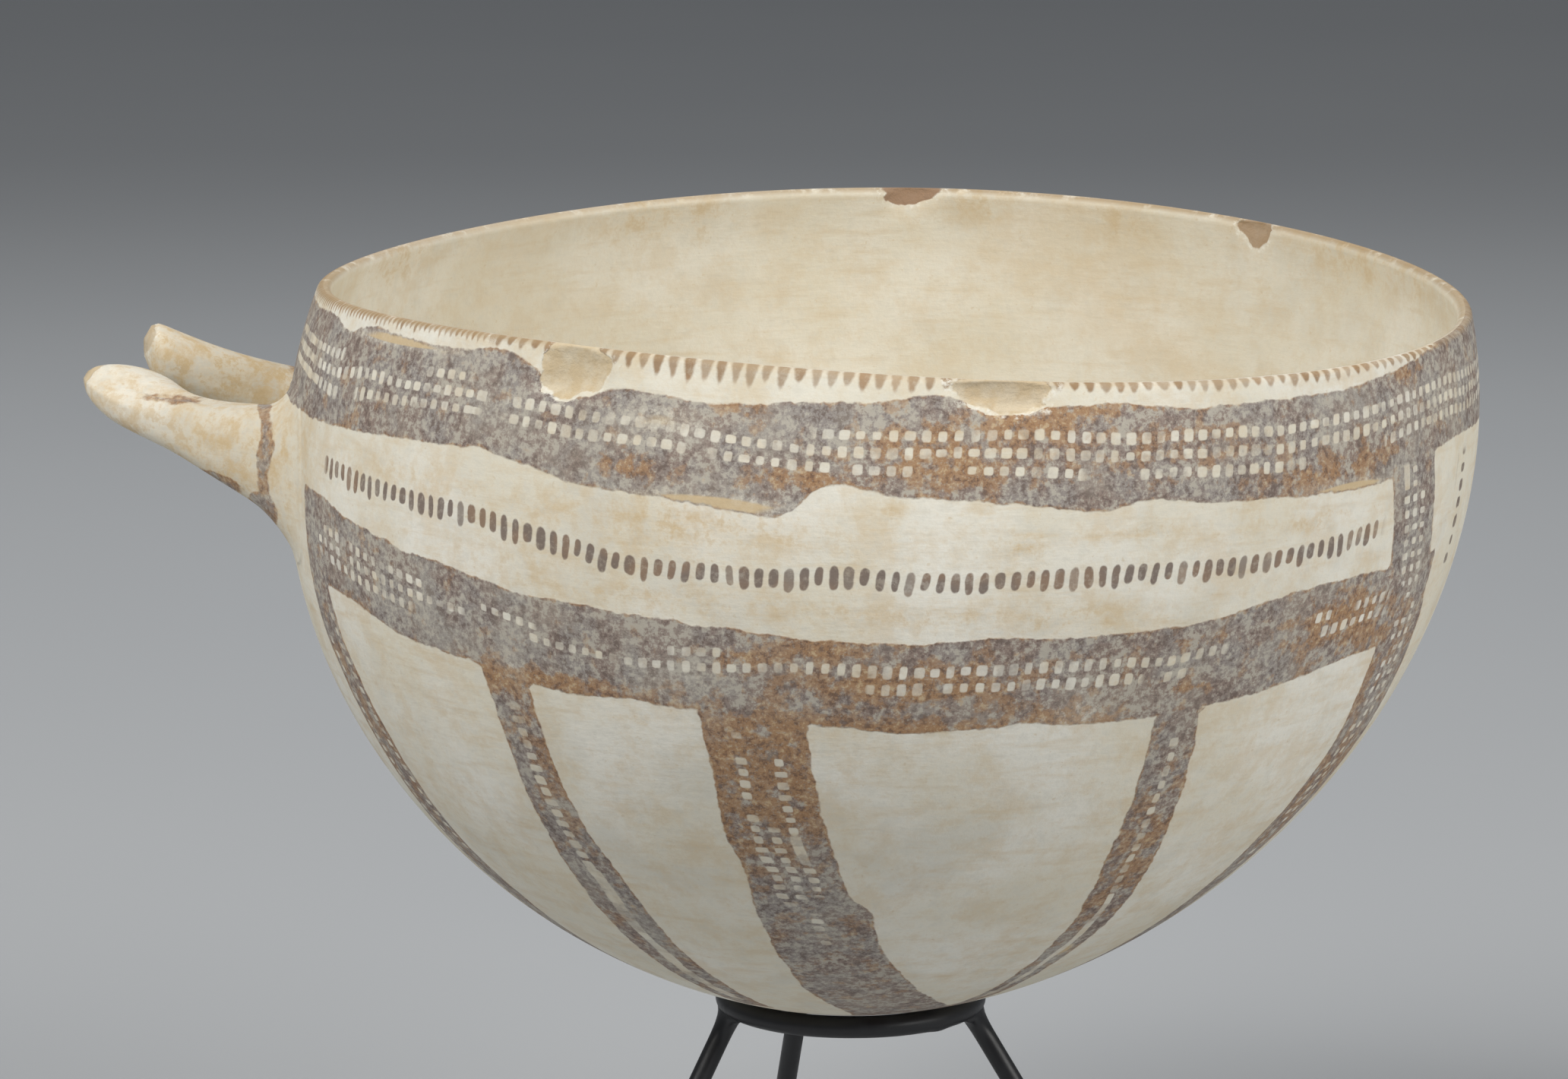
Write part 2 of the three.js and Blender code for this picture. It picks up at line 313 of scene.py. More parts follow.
    def normal(self, points: np.ndarray) -> np.ndarray:
        """The outward normal of the wall nearest to each point."""
        azimuth, z, _ = self.locate(points)
        radial, upward = self.outward(np.clip(z, self.lowest_level, self.height))
        turn = np.radians(azimuth)
        return np.stack([radial * np.cos(turn), radial * np.sin(turn), upward], axis=-1)

    def along_wall(self, points: np.ndarray, directions: np.ndarray) -> np.ndarray:
        """Directions turned to run along the wall: what the wall's outward normal has of them taken away."""
        normal = self.normal(points)
        along = directions - np.sum(directions * normal, axis=-1, keepdims=True) * normal
        return along / np.linalg.norm(along, axis=-1, keepdims=True)

    def locate(self, points: np.ndarray) -> tuple[np.ndarray, np.ndarray, np.ndarray]:
        """Turns points of the true body back to the round one, by a few rounds of correction.

        Args:
            points: places in the bowl's frame.

        Returns:
            Their azimuth, their height on the round body, and how far they stand out of its outside.
        """
        x, y, height = points[..., 0], points[..., 1], points[..., 2]
        z = height.copy()
        for _ in range(self.location_rounds):
            shift_x, shift_y = self.lean(z)
            azimuth = np.degrees(np.arctan2(y - shift_y, x - shift_x))
            near_rim = (np.clip(z, 0, None) / self.height) ** self.rim_power
            z = height - self.rim_wave(azimuth) * near_rim
        radius = np.hypot(x - shift_x, y - shift_y) - self.bulge(azimuth) * near_rim
        level = np.clip(z, self.lowest_level, self.height)
        radial, _ = self.outward(level)
        return azimuth, z, (radius - self.outer_radius(level)) * radial


FORM = BowlForm()


@dataclass(frozen=True)
class Seat:
    """How the round bottom sits in the ring: the same sum as in the part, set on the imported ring."""

    turn_x: float = 1.4
    turn_y: float = 1.5
    rod: float = 3.2
    ring_radius: float = 19.7
    gap: float = 0.3
    step: float = 0.01

    def ring_centre(self) -> np.ndarray:
        """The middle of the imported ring."""
        low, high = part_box("stand_ring")
        return (np.array(low) + np.array(high)) / 2 / MM

    def heights(self) -> tuple[float, float]:
        """The bowl's lowest point and its centre of curvature, measured up from the middle of the rod."""
        clearance = self.rod / 2 + self.gap
        radius = np.arange(self.ring_radius - clearance + self.step, self.ring_radius, self.step)
        share = (radius / FORM.belly_radius) ** FORM.bottom_fullness
        bottom = FORM.belly_height * (1 - np.sqrt(1 - share))
        touch = np.sqrt(clearance**2 - (radius - self.ring_radius) ** 2)
        best = int(np.argmax(touch - bottom))
        centre = touch[best] * self.ring_radius / (self.ring_radius - radius[best])
        return float(touch[best] - bottom[best]), float(centre)

    def turn(self) -> np.ndarray:
        """The bowl's turn: about X, then about the Y that has turned with it."""
        about_x = Matrix.Rotation(np.radians(self.turn_x), 3, "X")
        return np.array(about_x @ Matrix.Rotation(np.radians(self.turn_y), 3, "Y"))

    def pole(self) -> np.ndarray:
        """Where the bowl's lowest point is in the part's frame."""
        lowest, centre = self.heights()
        return self.ring_centre() + [0, 0, centre] + self.turn() @ [0, 0, lowest - centre]

    def outward(self, points: np.ndarray) -> np.ndarray:
        """Points of the bowl's frame in the part's frame."""
        return points @ self.turn().T + self.pole()

    def inward(self, points: np.ndarray) -> np.ndarray:
        """Points of the part's frame in the bowl's frame."""
        return (points - self.pole()) @ self.turn()


SEAT = Seat()


# The painted plan of the bowl, in azimuths round it and heights up it

PATH_AZIMUTH = 1
PATH_HALF_WIDTH = 2


@dataclass(frozen=True)
class Band:
    """A painted band round the bowl, with up to three rows of squares left bare in it.

    A row is counted down from the upper one. The middle row follows a line of its own, and the other
    two run a pitch above and below it. Where a row has no bars, its squares run together.
    """

    top: Stops
    bottom: Stops
    middle_row: Stops
    row_pitch: Stops
    column_pitch: float
    rows: tuple[Spans, Spans, Spans]
    barless: tuple[Spans, Spans, Spans]
    half_cell: tuple[float, float]
    reach: tuple[float, float]
    row_fade: float = 0.8
    bar_fade: float = 0.5

    def depth(self, azimuth: np.ndarray, z: np.ndarray) -> np.ndarray:
        """How far a point lies inside the band's edges, in millimetres; negative outside them."""
        around = np.radians(1.0) * FORM.belly_radius
        start, stop = self.reach
        ends = np.minimum(azimuth - start, stop - azimuth) * around
        edges = np.minimum(smooth_curve(self.top, azimuth) - z, z - smooth_curve(self.bottom, azimuth))
        return np.minimum(edges, ends)

    def lattice(self, azimuth: np.ndarray, z: np.ndarray) -> np.ndarray:
        """Columns counted along the band, and rows counted up from the middle one."""
        along = np.radians(azimuth) * FORM.belly_radius / self.column_pitch
        up = (z - smooth_curve(self.middle_row, azimuth)) / smooth_curve(self.row_pitch, azimuth)
        return np.stack([along, up, np.zeros_like(up)], axis=-1)

    def row_strength(self, azimuth: np.ndarray, z: np.ndarray) -> np.ndarray:
        """How plainly each row shows at an azimuth: the lower, the middle and the upper."""
        return np.stack([within(spans, azimuth, self.row_fade) for spans in reversed(self.rows)], axis=-1)

    def bar_strength(self, azimuth: np.ndarray, z: np.ndarray) -> np.ndarray:
        """How plainly the bars between the squares show: the lower, the middle and the upper row."""
        shown = [1 - within(spans, azimuth, self.bar_fade) for spans in reversed(self.barless)]
        return np.stack(shown, axis=-1)


@dataclass(frozen=True)
class Pendant:
    """A painted strip that hangs down the bowl, with up to three columns of bare rungs in it.

    The path gives a height, the azimuth of the middle there and half the strip's width in millimetres.
    The columns are the one on the side of the smaller azimuth, the middle one and the other.
    """

    path: tuple[Triple, ...]
    column_pitch: float
    rung_pitch: float
    columns: tuple[Spans, Spans, Spans]
    barless: tuple[Spans, Spans, Spans]
    half_cell: tuple[float, float]
    fade: float = 1.0

    def stops(self, column: int) -> Stops:
        """The path's azimuths or half widths by rising height."""
        return tuple((stop[0], stop[column]) for stop in sorted(self.path))

    def across(self, azimuth: np.ndarray, z: np.ndarray) -> np.ndarray:
        """How far a point lies from the middle of the strip, in millimetres round the bowl."""
        radius = FORM.outer_radius(np.maximum(z, FORM.lowest_level))
        return np.radians(azimuth - smooth_curve(self.stops(PATH_AZIMUTH), z)) * radius

    def depth(self, azimuth: np.ndarray, z: np.ndarray) -> np.ndarray:
        """How far a point lies inside the strip's edges, in millimetres; negative outside them."""
        heights = [stop[0] for stop in self.path]
        ends = np.minimum(z - min(heights), max(heights) - z)
        half_width = smooth_curve(self.stops(PATH_HALF_WIDTH), z)
        return np.minimum(half_width - np.abs(self.across(azimuth, z)), ends)

    def lattice(self, azimuth: np.ndarray, z: np.ndarray) -> np.ndarray:
        """Rungs counted along the wall, and columns counted round from the middle one."""
        rung = FORM.arc_length(z) / self.rung_pitch
        return np.stack([rung, self.across(azimuth, z) / self.column_pitch, np.zeros_like(rung)], axis=-1)

    def row_strength(self, azimuth: np.ndarray, z: np.ndarray) -> np.ndarray:
        """How plainly each column shows at a height."""
        return np.stack([within(spans, z, self.fade) for spans in self.columns], axis=-1)

    def bar_strength(self, azimuth: np.ndarray, z: np.ndarray) -> np.ndarray:
        """How plainly the bars between the rungs show at a height."""
        return np.stack([1 - within(spans, z, self.fade) for spans in self.barless], axis=-1)


@dataclass(frozen=True)
class Patch:
    """A soft round patch of wear or stain: its place, its half size round and up, and its strength."""

    azimuth: float
    height: float
    around: float
    tall: float
    strength: float

    def weight(self, azimuth: np.ndarray, z: np.ndarray) -> np.ndarray:
        """A bell over the patch, of the given strength at its middle."""
        across = (azimuth - self.azimuth) / self.around
        up = (z - self.height) / self.tall
        return self.strength * np.exp(-(across**2) - up**2)


@dataclass(frozen=True)
class Flake:
    """A flake lost from the lip, as a flattened ball set across the edge."""

    azimuth: float
    height: float
    along: float
    tall: float
    deep: float
    inside: bool
    redness: float

    def local(self, azimuth: np.ndarray, z: np.ndarray) -> tuple[np.ndarray, np.ndarray]:
        """Where a point lies against the flake: along the rim and up the wall, in half sizes."""
        turn = np.radians((azimuth - self.azimuth + 180) % 360 - 180)
        along = turn * FORM.outer_radius(np.array(self.height)) / (self.along / 2)
        up = (z - self.height) / (self.tall / 2)
        bearing = np.arctan2(up, along)
        ragged = 1 + 0.10 * np.sin(3 * bearing + self.azimuth) + 0.07 * np.sin(7 * bearing)
        return along / ragged, up / ragged

    def depth(self, azimuth: np.ndarray, z: np.ndarray) -> np.ndarray:
        """How far a point lies inside the flake's outline, in millimetres."""
        along, up = self.local(azimuth, z)
        return (1 - np.hypot(along, up)) * min(self.along, self.tall) / 2

    def scooped(self, azimuth: np.ndarray, radius: np.ndarray, z: np.ndarray) -> np.ndarray:
        """The radius that is left where the ball has taken the clay away."""
        along, up = self.local(azimuth, z)
        bite = self.deep / 2 * np.sqrt(np.clip(1 - along**2 - up**2, 0.0, None))
        wall, _ = FORM.profile(np.array([self.height]), 1.0 if self.inside else 0.0)
        if self.inside:
            floor = wall[0] + bite
            return np.where((bite > 0) & (radius < floor) & (radius > wall[0] - self.deep), floor, radius)
        floor = wall[0] - bite
        return np.where((bite > 0) & (radius > floor), floor, radius)


@dataclass(frozen=True)
class Stump:
    """What is left of one arm of the wishbone handle: a rounded strap from the wall to its break.

    The section is a superellipse whose half height and half width swell towards the root, and the inner
    side keeps what is left at the tip of the web that joined the two arms. Towards the tip the outer
    side's shoulder is worn down, and a shallow groove runs along the top.
    """

    name: str
    seed: int
    root: Triple
    tip: Triple
    sag: float
    tip_half_height: float
    root_swell: float
    tip_half_width: float
    root_widening: float
    web_remnant: float
    worn_tip: float
    squareness: float
    shoulder: float
    groove: float
    shoulder_starts: float = 0.42
    shoulder_full: float = 0.8
    groove_angle: float = 1.75
    groove_share: float = 0.62
    groove_spread: float = 0.2
    swell_power: float = 2.6
    web_starts: float = 0.45
    fillet_radius: float = 4.4
    burial: float = 2.0
    foot_between: tuple[float, float] = (-0.4, 0.6)
    halvings: int = 30
    crowding: float = 2.2
    unevenness: float = 0.2
    break_rings: Triple = (0.8, 0.55, 0.28)
    break_roughness: float = 0.08
    sides: int = 84
    steps: int = 76

    def axis(self) -> np.ndarray:
        """From the root to the tip."""
        return np.array(self.tip) - np.array(self.root)

    def inner(self) -> np.ndarray:
        """The level direction across the strap, towards the other arm."""
        x, y, _ = self.axis()
        across = np.array([y, -x, 0.0]) * -np.sign(self.root[1])
        return across / np.linalg.norm(across)

    def middle(self, share: np.ndarray) -> np.ndarray:
        """The middle of the strap a share of the way along: a straight line with a sag."""
        middle = np.array(self.root) + share[..., None] * self.axis()
        middle[..., 2] -= self.sag * share * (1 - share)
        return middle

    def half_sizes(self, share: np.ndarray) -> tuple[np.ndarray, np.ndarray, np.ndarray]:
        """The half width, the half height and the web's remnant, with the worn rounding of the tip."""
        rounding = self.worn_tip / np.linalg.norm(self.axis())
        swell = np.clip(1 - share, 0, None) ** self.swell_power
        turn = np.clip((share - (1 - rounding)) / rounding, 0, 1) * np.sin(0.4 * np.pi)
        shrink = np.sqrt(1 - turn**2)
        web = self.web_remnant * smoothstep(self.web_starts, 1 - rounding, share) * shrink
        width = (self.tip_half_width + self.root_widening * swell) * shrink
        return width, (self.tip_half_height + self.root_swell * swell) * shrink, web

    def section(self, share: np.ndarray, angle: np.ndarray) -> tuple[np.ndarray, np.ndarray]:
        """The strap's skin before its root is filled out.

        Args:
            share: how far along the strap.
            angle: how far round its section, from the inner side over the top.

        Returns:
            The points, and the directions in which the section faces.
        """
        half_width, half_height, web = self.half_sizes(share)
        power = 2 / self.squareness
        across = np.sign(np.cos(angle)) * np.abs(np.cos(angle)) ** power
        up = np.sign(np.sin(angle)) * np.abs(np.sin(angle)) ** power
        width = np.where(across > 0, half_width + web, half_width)
        past_start = smoothstep(self.shoulder_starts, self.shoulder_full, share)
        shoulder = self.shoulder * past_start * smoothstep(-0.2, 1.0, -across)
        off_angle = (angle - self.groove_angle) / self.groove_spread
        off_share = (share - self.groove_share) / self.groove_spread
        crease = self.groove * np.exp(-(off_angle**2) - off_share**2)
        fullness = np.minimum(half_height / self.tip_half_height, 1.0)
        lowered = np.clip(up, 0, 1) * shoulder + crease
        height = up * half_height - lowered * fullness
        facing = np.stack([across / half_width, up / half_height], axis=-1)
        facing = facing / np.linalg.norm(facing, axis=-1, keepdims=True)
        inner = self.inner()
        points = self.middle(share) + (across * width)[..., None] * inner
        points[..., 2] += height
        direction = facing[..., :1] * inner + facing[..., 1:] * np.array([0.0, 0.0, 1.0])
        return points, direction

    def foot(self, angle: np.ndarray, burial: float) -> np.ndarray:
        """How far along each line of the strap lies a burial's depth inside the wall, found by halving."""
        low, high = (np.full_like(angle, end) for end in self.foot_between)
        for _ in range(self.halvings):
            share = (low + high) / 2
            points, _ = self.section(share, angle)
            outside = FORM.locate(points)[2] > -burial
            low, high = np.where(outside, low, share), np.where(outside, share, high)
        return (low + high) / 2

    def skin(self) -> tuple[np.ndarray, list[list[int]]]:
        """The closed skin of the stump in the bowl's frame, filled out where it grows from the wall."""
        angle = np.linspace(0, 2 * np.pi, self.sides, endpoint=False)
        along = np.linspace(0, 1, self.steps)[:, None] ** self.crowding
        contact = self.foot(angle, 0.0)
        share = np.concatenate([self.foot(angle, self.burial)[None], contact + (1 - contact) * along])
        points, facing = self.section(share, np.broadcast_to(angle, share.shape))
        clearance = FORM.locate(points)[2]
        radius = self.fillet_radius - 0.8 * np.sin(angle)
        points = points + fillet(clearance, radius)[..., None] * FORM.along_wall(points, facing)
        lifted = FORM.locate(points)[2] - clearance
        points = points - lifted[..., None] * FORM.normal(points)
        uneven = self.unevenness * ripple(share * 16, angle * 2, self.seed) * smoothstep(1, 6, clearance)
        points = points + uneven[..., None] * facing
        tip = points[-1].mean(axis=0)
        axis = self.axis() / np.linalg.norm(self.axis())
        shrinking = np.array(self.break_rings)[:, None, None]
        inwards = np.arange(1.0, 1.0 + len(self.break_rings))[:, None]
        size = np.linalg.norm(points[-1] - tip, axis=-1).mean()
        broken = self.break_roughness * size * ripple(angle * 2.0, inwards * 1.7, self.seed + 14)
        cap = tip + (points[-1] - tip) * shrinking + broken[..., None] * axis
        rings = np.concatenate([points, cap])
        return closed_skin(rings, points[0].mean(axis=0), tip + 0.1 * axis)

    def share_of(self, points: np.ndarray) -> np.ndarray:
        """How far along the strap a point lies."""
        axis = self.axis()
        return (points - np.array(self.root)) @ axis / (axis @ axis)


@dataclass(frozen=True)
class Dab:
    """A dab coloured like the paint on a stump: a ball-shaped place in the bowl's frame."""

    centre: Triple
    half_sizes: Triple

    def depth(self, points: np.ndarray) -> np.ndarray:
        """How far a point lies inside the dab, in millimetres."""
        size = np.array(self.half_sizes)
        return (1 - np.linalg.norm((points - np.array(self.centre)) / size, axis=-1)) * size.min()


UPPER_BAND = Band(
    top=(
        (-180, 113.2), (-165, 113.6), (-157, 113.3), (-149.5, 113.3), (-144.2, 112.0), (-142.3, 112.9),
        (-135, 113.2), (-129, 112.5), (-116.3, 112.4), (-112.2, 109.4), (-109, 108.9), (-107, 110.4),
        (-103, 110.4), (-96.6, 109.8), (-89, 110.8), (-82, 111.6), (-74, 112.2), (-72.4, 111.0),
        (-67, 112.0), (-59, 112.3), (-50, 111.4), (-43, 111.9), (-30, 112.4), (-24, 113.5),
        (-16.5, 114.8), (-8, 116.5), (2, 116.5), (14, 114.5), (22, 112.8), (45, 112.0), (70, 112.6),
        (95, 111.6), (120, 112.4), (150, 113.0), (180, 113.2),
    ),
    bottom=(
        (-180, 98.5), (-165, 97.6), (-155.3, 97.8), (-148.4, 97.7), (-139.6, 98.3), (-125.5, 99.5),
        (-119.5, 99.7), (-114.4, 98.6), (-110, 97.3), (-106, 96.8), (-102.4, 96.7), (-99.4, 96.4),
        (-95, 95.8), (-91.5, 95.3), (-89.8, 95.1), (-88.3, 96.2), (-87.3, 98.0), (-78.8, 98.9),
        (-68.7, 98.2), (-59.3, 97.4), (-56.5, 98.3), (-48.6, 97.4), (-40, 97.3), (-34.7, 96.8),
        (-28, 96.8), (-26, 97.2), (-14, 99.8), (0, 99.0), (20, 98.0), (45, 98.6), (75, 97.6),
        (105, 98.4), (135, 98.0), (160, 98.6), (180, 98.5),
    ),
    middle_row=(
        (-180, 105.6), (-160, 106.6), (-150, 105.8), (-145, 105.6), (-141, 106.2), (-138, 106.8),
        (-132, 106.6), (-125, 107.0), (-118, 107.0), (-113.3, 106.6), (-108, 106.3), (-101.3, 106.2),
        (-96.7, 105.6), (-88, 104.7), (-84, 104.5), (-79, 104.8), (-73.4, 105.3), (-67.7, 105.4),
        (-57, 104.9), (-51.6, 105.0), (-46, 104.7), (-40, 104.6), (-35.6, 105.0), (-30, 105.3),
        (-23.5, 106.3), (-14.7, 106.9), (-8.8, 106.4), (5, 105.6), (30, 105.0), (180, 105.6),
    ),
    row_pitch=(
        (-180, 2.4), (-150, 2.4), (-139, 3.0), (-132, 2.3), (-110, 2.5), (-90, 2.2), (-70, 2.5),
        (-44, 2.7), (-30, 2.6), (-20, 2.5), (180, 2.4),
    ),
    column_pitch=2.35,
    rows=(
        ((-164, -144), (-129.5, -122), (-87.5, 165)),
        ((-164, -119.5), (-118, 165)),
        ((-164, -143), (-140.5, -120.5), (-118.5, -98), (-97, -77), (-73.5, -62), (-57.5, -38), (-27.5, 165)),
    ),
    barless=(((-166, -151.5),), ((-166, -151.5), (-121, -119.2)), ((-166, -149.8), (-122, -120))),
    half_cell=(0.30, 0.29),
    reach=(-400.0, 400.0),
)

LOWER_BAND = Band(
    top=(
        (-151, 87.8), (-149.6, 87.4), (-145, 87.2), (-141, 85.7), (-135.3, 84.6), (-129, 83.2),
        (-122.6, 82.5), (-116.4, 80.9), (-105.3, 79.9), (-93.4, 79.0), (-86.5, 78.3), (-80.8, 78.0),
        (-75, 78.0), (-70.7, 78.7), (-63.7, 78.6), (-55.4, 79.0), (-47, 79.9), (-41.3, 81.6),
        (-33, 83.0), (-24, 82.9), (-12, 83.0),
    ),
    bottom=(
        (-151, 74.5), (-144.8, 73.4), (-137.4, 72.1), (-132, 70.2), (-125, 69.2), (-119.4, 68.3),
        (-113.7, 67.0), (-108.3, 66.2), (-101.6, 66.6), (-96.9, 66.1), (-85.7, 65.3), (-80, 64.4),
        (-73, 64.4), (-67.5, 64.9), (-65, 65.4), (-60, 64.8), (-51.5, 65.3), (-46, 66.0), (-38, 67.1),
        (-29, 69.2), (-21.5, 69.7), (-12, 70.0),
    ),
    middle_row=(
        (-151, 80.9), (-145, 80.3), (-140.8, 79.4), (-137.5, 78.4), (-131.5, 77.5), (-126, 76.7),
        (-121.5, 76.1), (-113.7, 74.3), (-108, 73.2), (-102, 72.6), (-94, 72.9), (-85.8, 73.7),
        (-76, 73.5), (-65.5, 74.2), (-57, 74.2), (-50.6, 74.2), (-45.3, 75.0), (-33, 75.0),
        (-27, 75.7), (-12, 76.4),
    ),
    row_pitch=((-151, 1.9), (-138, 2.15), (-130, 2.1), (-115, 1.7), (-95, 2.3), (-12, 2.4)),
    column_pitch=2.3,
    rows=(
        ((-145.5, -126), (-119.5, -112), (-99, -92.5), (-35, -31), (-28.5, -22)),
        ((-147, -120.5), (-114, -44.5), (-33.5, -22)),
        ((-146.5, -128), (-80.5, -53.5), (-52, -48.5)),
    ),
    barless=((), (), ()),
    half_cell=(0.28, 0.32),
    reach=(-150.4, -13.0),
)

FAR_LOWER_BAND = Band(
    top=(
        (13, 82.0), (30, 81.2), (48, 79.6), (70, 78.4), (92, 78.8), (115, 80.8), (132, 83.6), (149, 87.6),
    ),
    bottom=(
        (13, 69.0), (30, 67.8), (48, 66.0), (70, 65.2), (92, 65.4), (115, 67.2), (132, 70.4), (149, 74.6),
    ),
    middle_row=((13, 75.6), (40, 74.2), (70, 73.2), (100, 73.6), (125, 76.4), (149, 80.6)),
    row_pitch=((13, 2.4), (149, 2.2)),
    column_pitch=2.35,
    rows=(((20, 44), (80, 145)), ((20, 146),), ((28, 60), (66, 120))),
    barless=((), (), ()),
    half_cell=(0.27, 0.27),
    reach=(14.0, 149.0),
)

NEAR_ROOT_PENDANT = Pendant(
    path=(
        (78, -147.8, 4.0), (67, -147.2, 4.3), (58.8, -145.3, 4.4), (47, -143.4, 4.4), (33.8, -142.3, 4.4),
        (25.6, -140.2, 4.2), (16, -139.0, 3.8), (7, -136.0, 3.0),
    ),
    column_pitch=2.6,
    rung_pitch=2.3,
    columns=(((12, 68),), (), ((30, 70),)),
    barless=((), (), ()),
    half_cell=(0.24, 0.26),
)

LADDER_PENDANT = Pendant(
    path=(
        (69, -116.7, 4.2), (58.5, -115.5, 3.9), (45.5, -114.2, 4.2), (35, -112.5, 4.8), (22, -111.0, 4.7),
        (10.7, -108.3, 3.6), (6, -106.5, 3.0),
    ),
    column_pitch=4.2,
    rung_pitch=2.15,
    columns=((), ((8, 63.5),), ()),
    barless=((), ((-5, 36.5),), ()),
    half_cell=(0.33, 0.25),
)

WIDE_PENDANT = Pendant(
    path=(
        (68, -90.9, 8.0), (56, -89.4, 7.5), (45.5, -88.1, 7.6), (38, -86.2, 7.3), (35, -85.7, 7.4),
        (33.2, -84.6, 8.4), (28, -83.4, 8.3), (21.5, -81.1, 8.2), (10, -70.0, 8.6), (4, -56.0, 8.0),
    ),
    column_pitch=2.75,
    rung_pitch=2.15,
    columns=(((33, 64),), ((33.5, 48.5), (25, 32.5)), ((35, 60),)),
    barless=((), (), ((41, 47),)),
    half_cell=(0.29, 0.29),
)

THIN_RUNG_PENDANT = Pendant(
    path=(
        (66.5, -48.7, 3.8), (51.5, -47.3, 4.4), (39, -46.1, 4.6), (27.5, -44.4, 3.9), (18, -44.5, 2.8),
        (11, -43.9, 2.3), (6, -43.0, 2.0),
    ),
    column_pitch=4.0,
    rung_pitch=2.6,
    columns=((), ((9, 62.5),), ()),
    barless=((), ((-5, 33.5),), ()),
    half_cell=(0.32, 0.16),
)

PANEL_BAND = Pendant(
    path=(
        (101, -21.7, 7.2), (90, -20.2, 6.8), (83, -19.1, 7.2), (71, -16.4, 7.9), (62, -15.5, 8.0),
        (54, -14.9, 7.6), (44, -16.0, 6.6), (36, -17.5, 5.2), (27, -19.4, 3.6), (18, -21, 2.9), (7, -24, 2.4),
    ),
    column_pitch=2.55,
    rung_pitch=2.3,
    columns=(((40, 99.5),), ((30, 99),), ((56, 95),)),
    barless=(((94.4, 99.8),), (), ()),
    half_cell=(0.24, 0.28),
)

FAR_PENDANTS = (
    Pendant(
        path=(
            (101, 21.0, 6.8), (83, 19.0, 7.2), (62, 18.2, 7.4), (40, 20.5, 5.6), (20, 26.0, 3.4),
            (7, 30, 2.6),
        ),
        column_pitch=2.55,
        rung_pitch=2.3,
        columns=(((52, 98),), ((30, 99),), ((44, 96),)),
        barless=((), (), ()),
        half_cell=(0.26, 0.28),
    ),
    Pendant(
        path=((67.5, 50.0, 4.0), (45, 48.5, 4.4), (25, 50.5, 3.8), (7, 56.0, 2.4)),
        column_pitch=4.0,
        rung_pitch=2.4,
        columns=((), ((9, 63),), ()),
        barless=((), ((-5, 30),), ()),
        half_cell=(0.32, 0.22),
    ),
    Pendant(
        path=((67, 89.5, 7.6), (46, 88.0, 7.4), (28, 90.0, 7.6), (12, 99.0, 8.0), (5, 108, 7.0)),
        column_pitch=2.75,
        rung_pitch=2.15,
        columns=(((32, 62),), ((28, 63),), ((36, 62),)),
        barless=((), (), ()),
        half_cell=(0.32, 0.31),
    ),
    Pendant(
        path=((68.5, 117.0, 4.2), (45, 115.0, 4.3), (24, 116.0, 4.4), (7, 122.0, 3.0)),
        column_pitch=4.2,
        rung_pitch=2.15,
        columns=((), ((9, 63),), ()),
        barless=((), ((-5, 34),), ()),
        half_cell=(0.32, 0.25),
    ),
    Pendant(
        path=((78, 146.5, 4.0), (55, 144.5, 4.3), (30, 142.5, 4.2), (7, 140.0, 3.0)),
        column_pitch=2.6,
        rung_pitch=2.3,
        columns=(((12, 68),), (), ((30, 70),)),
        barless=((), (), ()),
        half_cell=(0.24, 0.26),
    ),
)

PAINTWORK: tuple[Union[Band, Pendant], ...] = (
    UPPER_BAND, LOWER_BAND, FAR_LOWER_BAND, NEAR_ROOT_PENDANT, LADDER_PENDANT, WIDE_PENDANT,
    THIN_RUNG_PENDANT, PANEL_BAND, *FAR_PENDANTS,
)


@dataclass(frozen=True)
class StrokeRow:
    """A row of short upright strokes between the bands: its line round the bowl and its extent."""

    line: Stops
    spans: Spans
    pitch: float = 2.15
    half_length: float = 1.75


@dataclass(frozen=True)
class DotColumn:
    """An upright column of dots on the tall panel across from the handle."""

    azimuth: float
    low: float
    high: float
    pitch: float = 2.9
    half_length: float = 1.0


# The lengths of the ticks under the lip, by azimuth
TICK_LENGTHS = (
    (-180, 2.0), (-160, 2.1), (-122, 1.8), (-116, 2.0), (-106, 2.9), (-90, 2.9), (-80, 2.4), (-74, 2.0),
    (-60, 1.9), (-30, 1.9), (-14, 1.6), (0, 1.4), (20, 2.2), (90, 2.6), (150, 1.8), (180, 0.9),
)
STROKES = StrokeRow(
    line=(
        (-150, 92.2), (-143.4, 91.8), (-134.9, 91.1), (-126.4, 90.6), (-119.8, 90.4), (-113.7, 89.2),
        (-109.6, 88.4), (-104, 86.8), (-95, 86.6), (-88.3, 86.6), (-84, 87.4), (-77.3, 86.9),
        (-68.7, 87.1), (-61, 87.7), (-42, 87.8), (-33.7, 88.7), (-25, 90.1), (13, 89.5), (60, 87.6),
        (100, 87.0), (130, 89.4), (160, 92.0),
    ),
    spans=((-144.6, -26.4), (28.5, 145)),
)
DOTS = (DotColumn(-7.6, 78, 97.5), DotColumn(5.5, 74, 97))

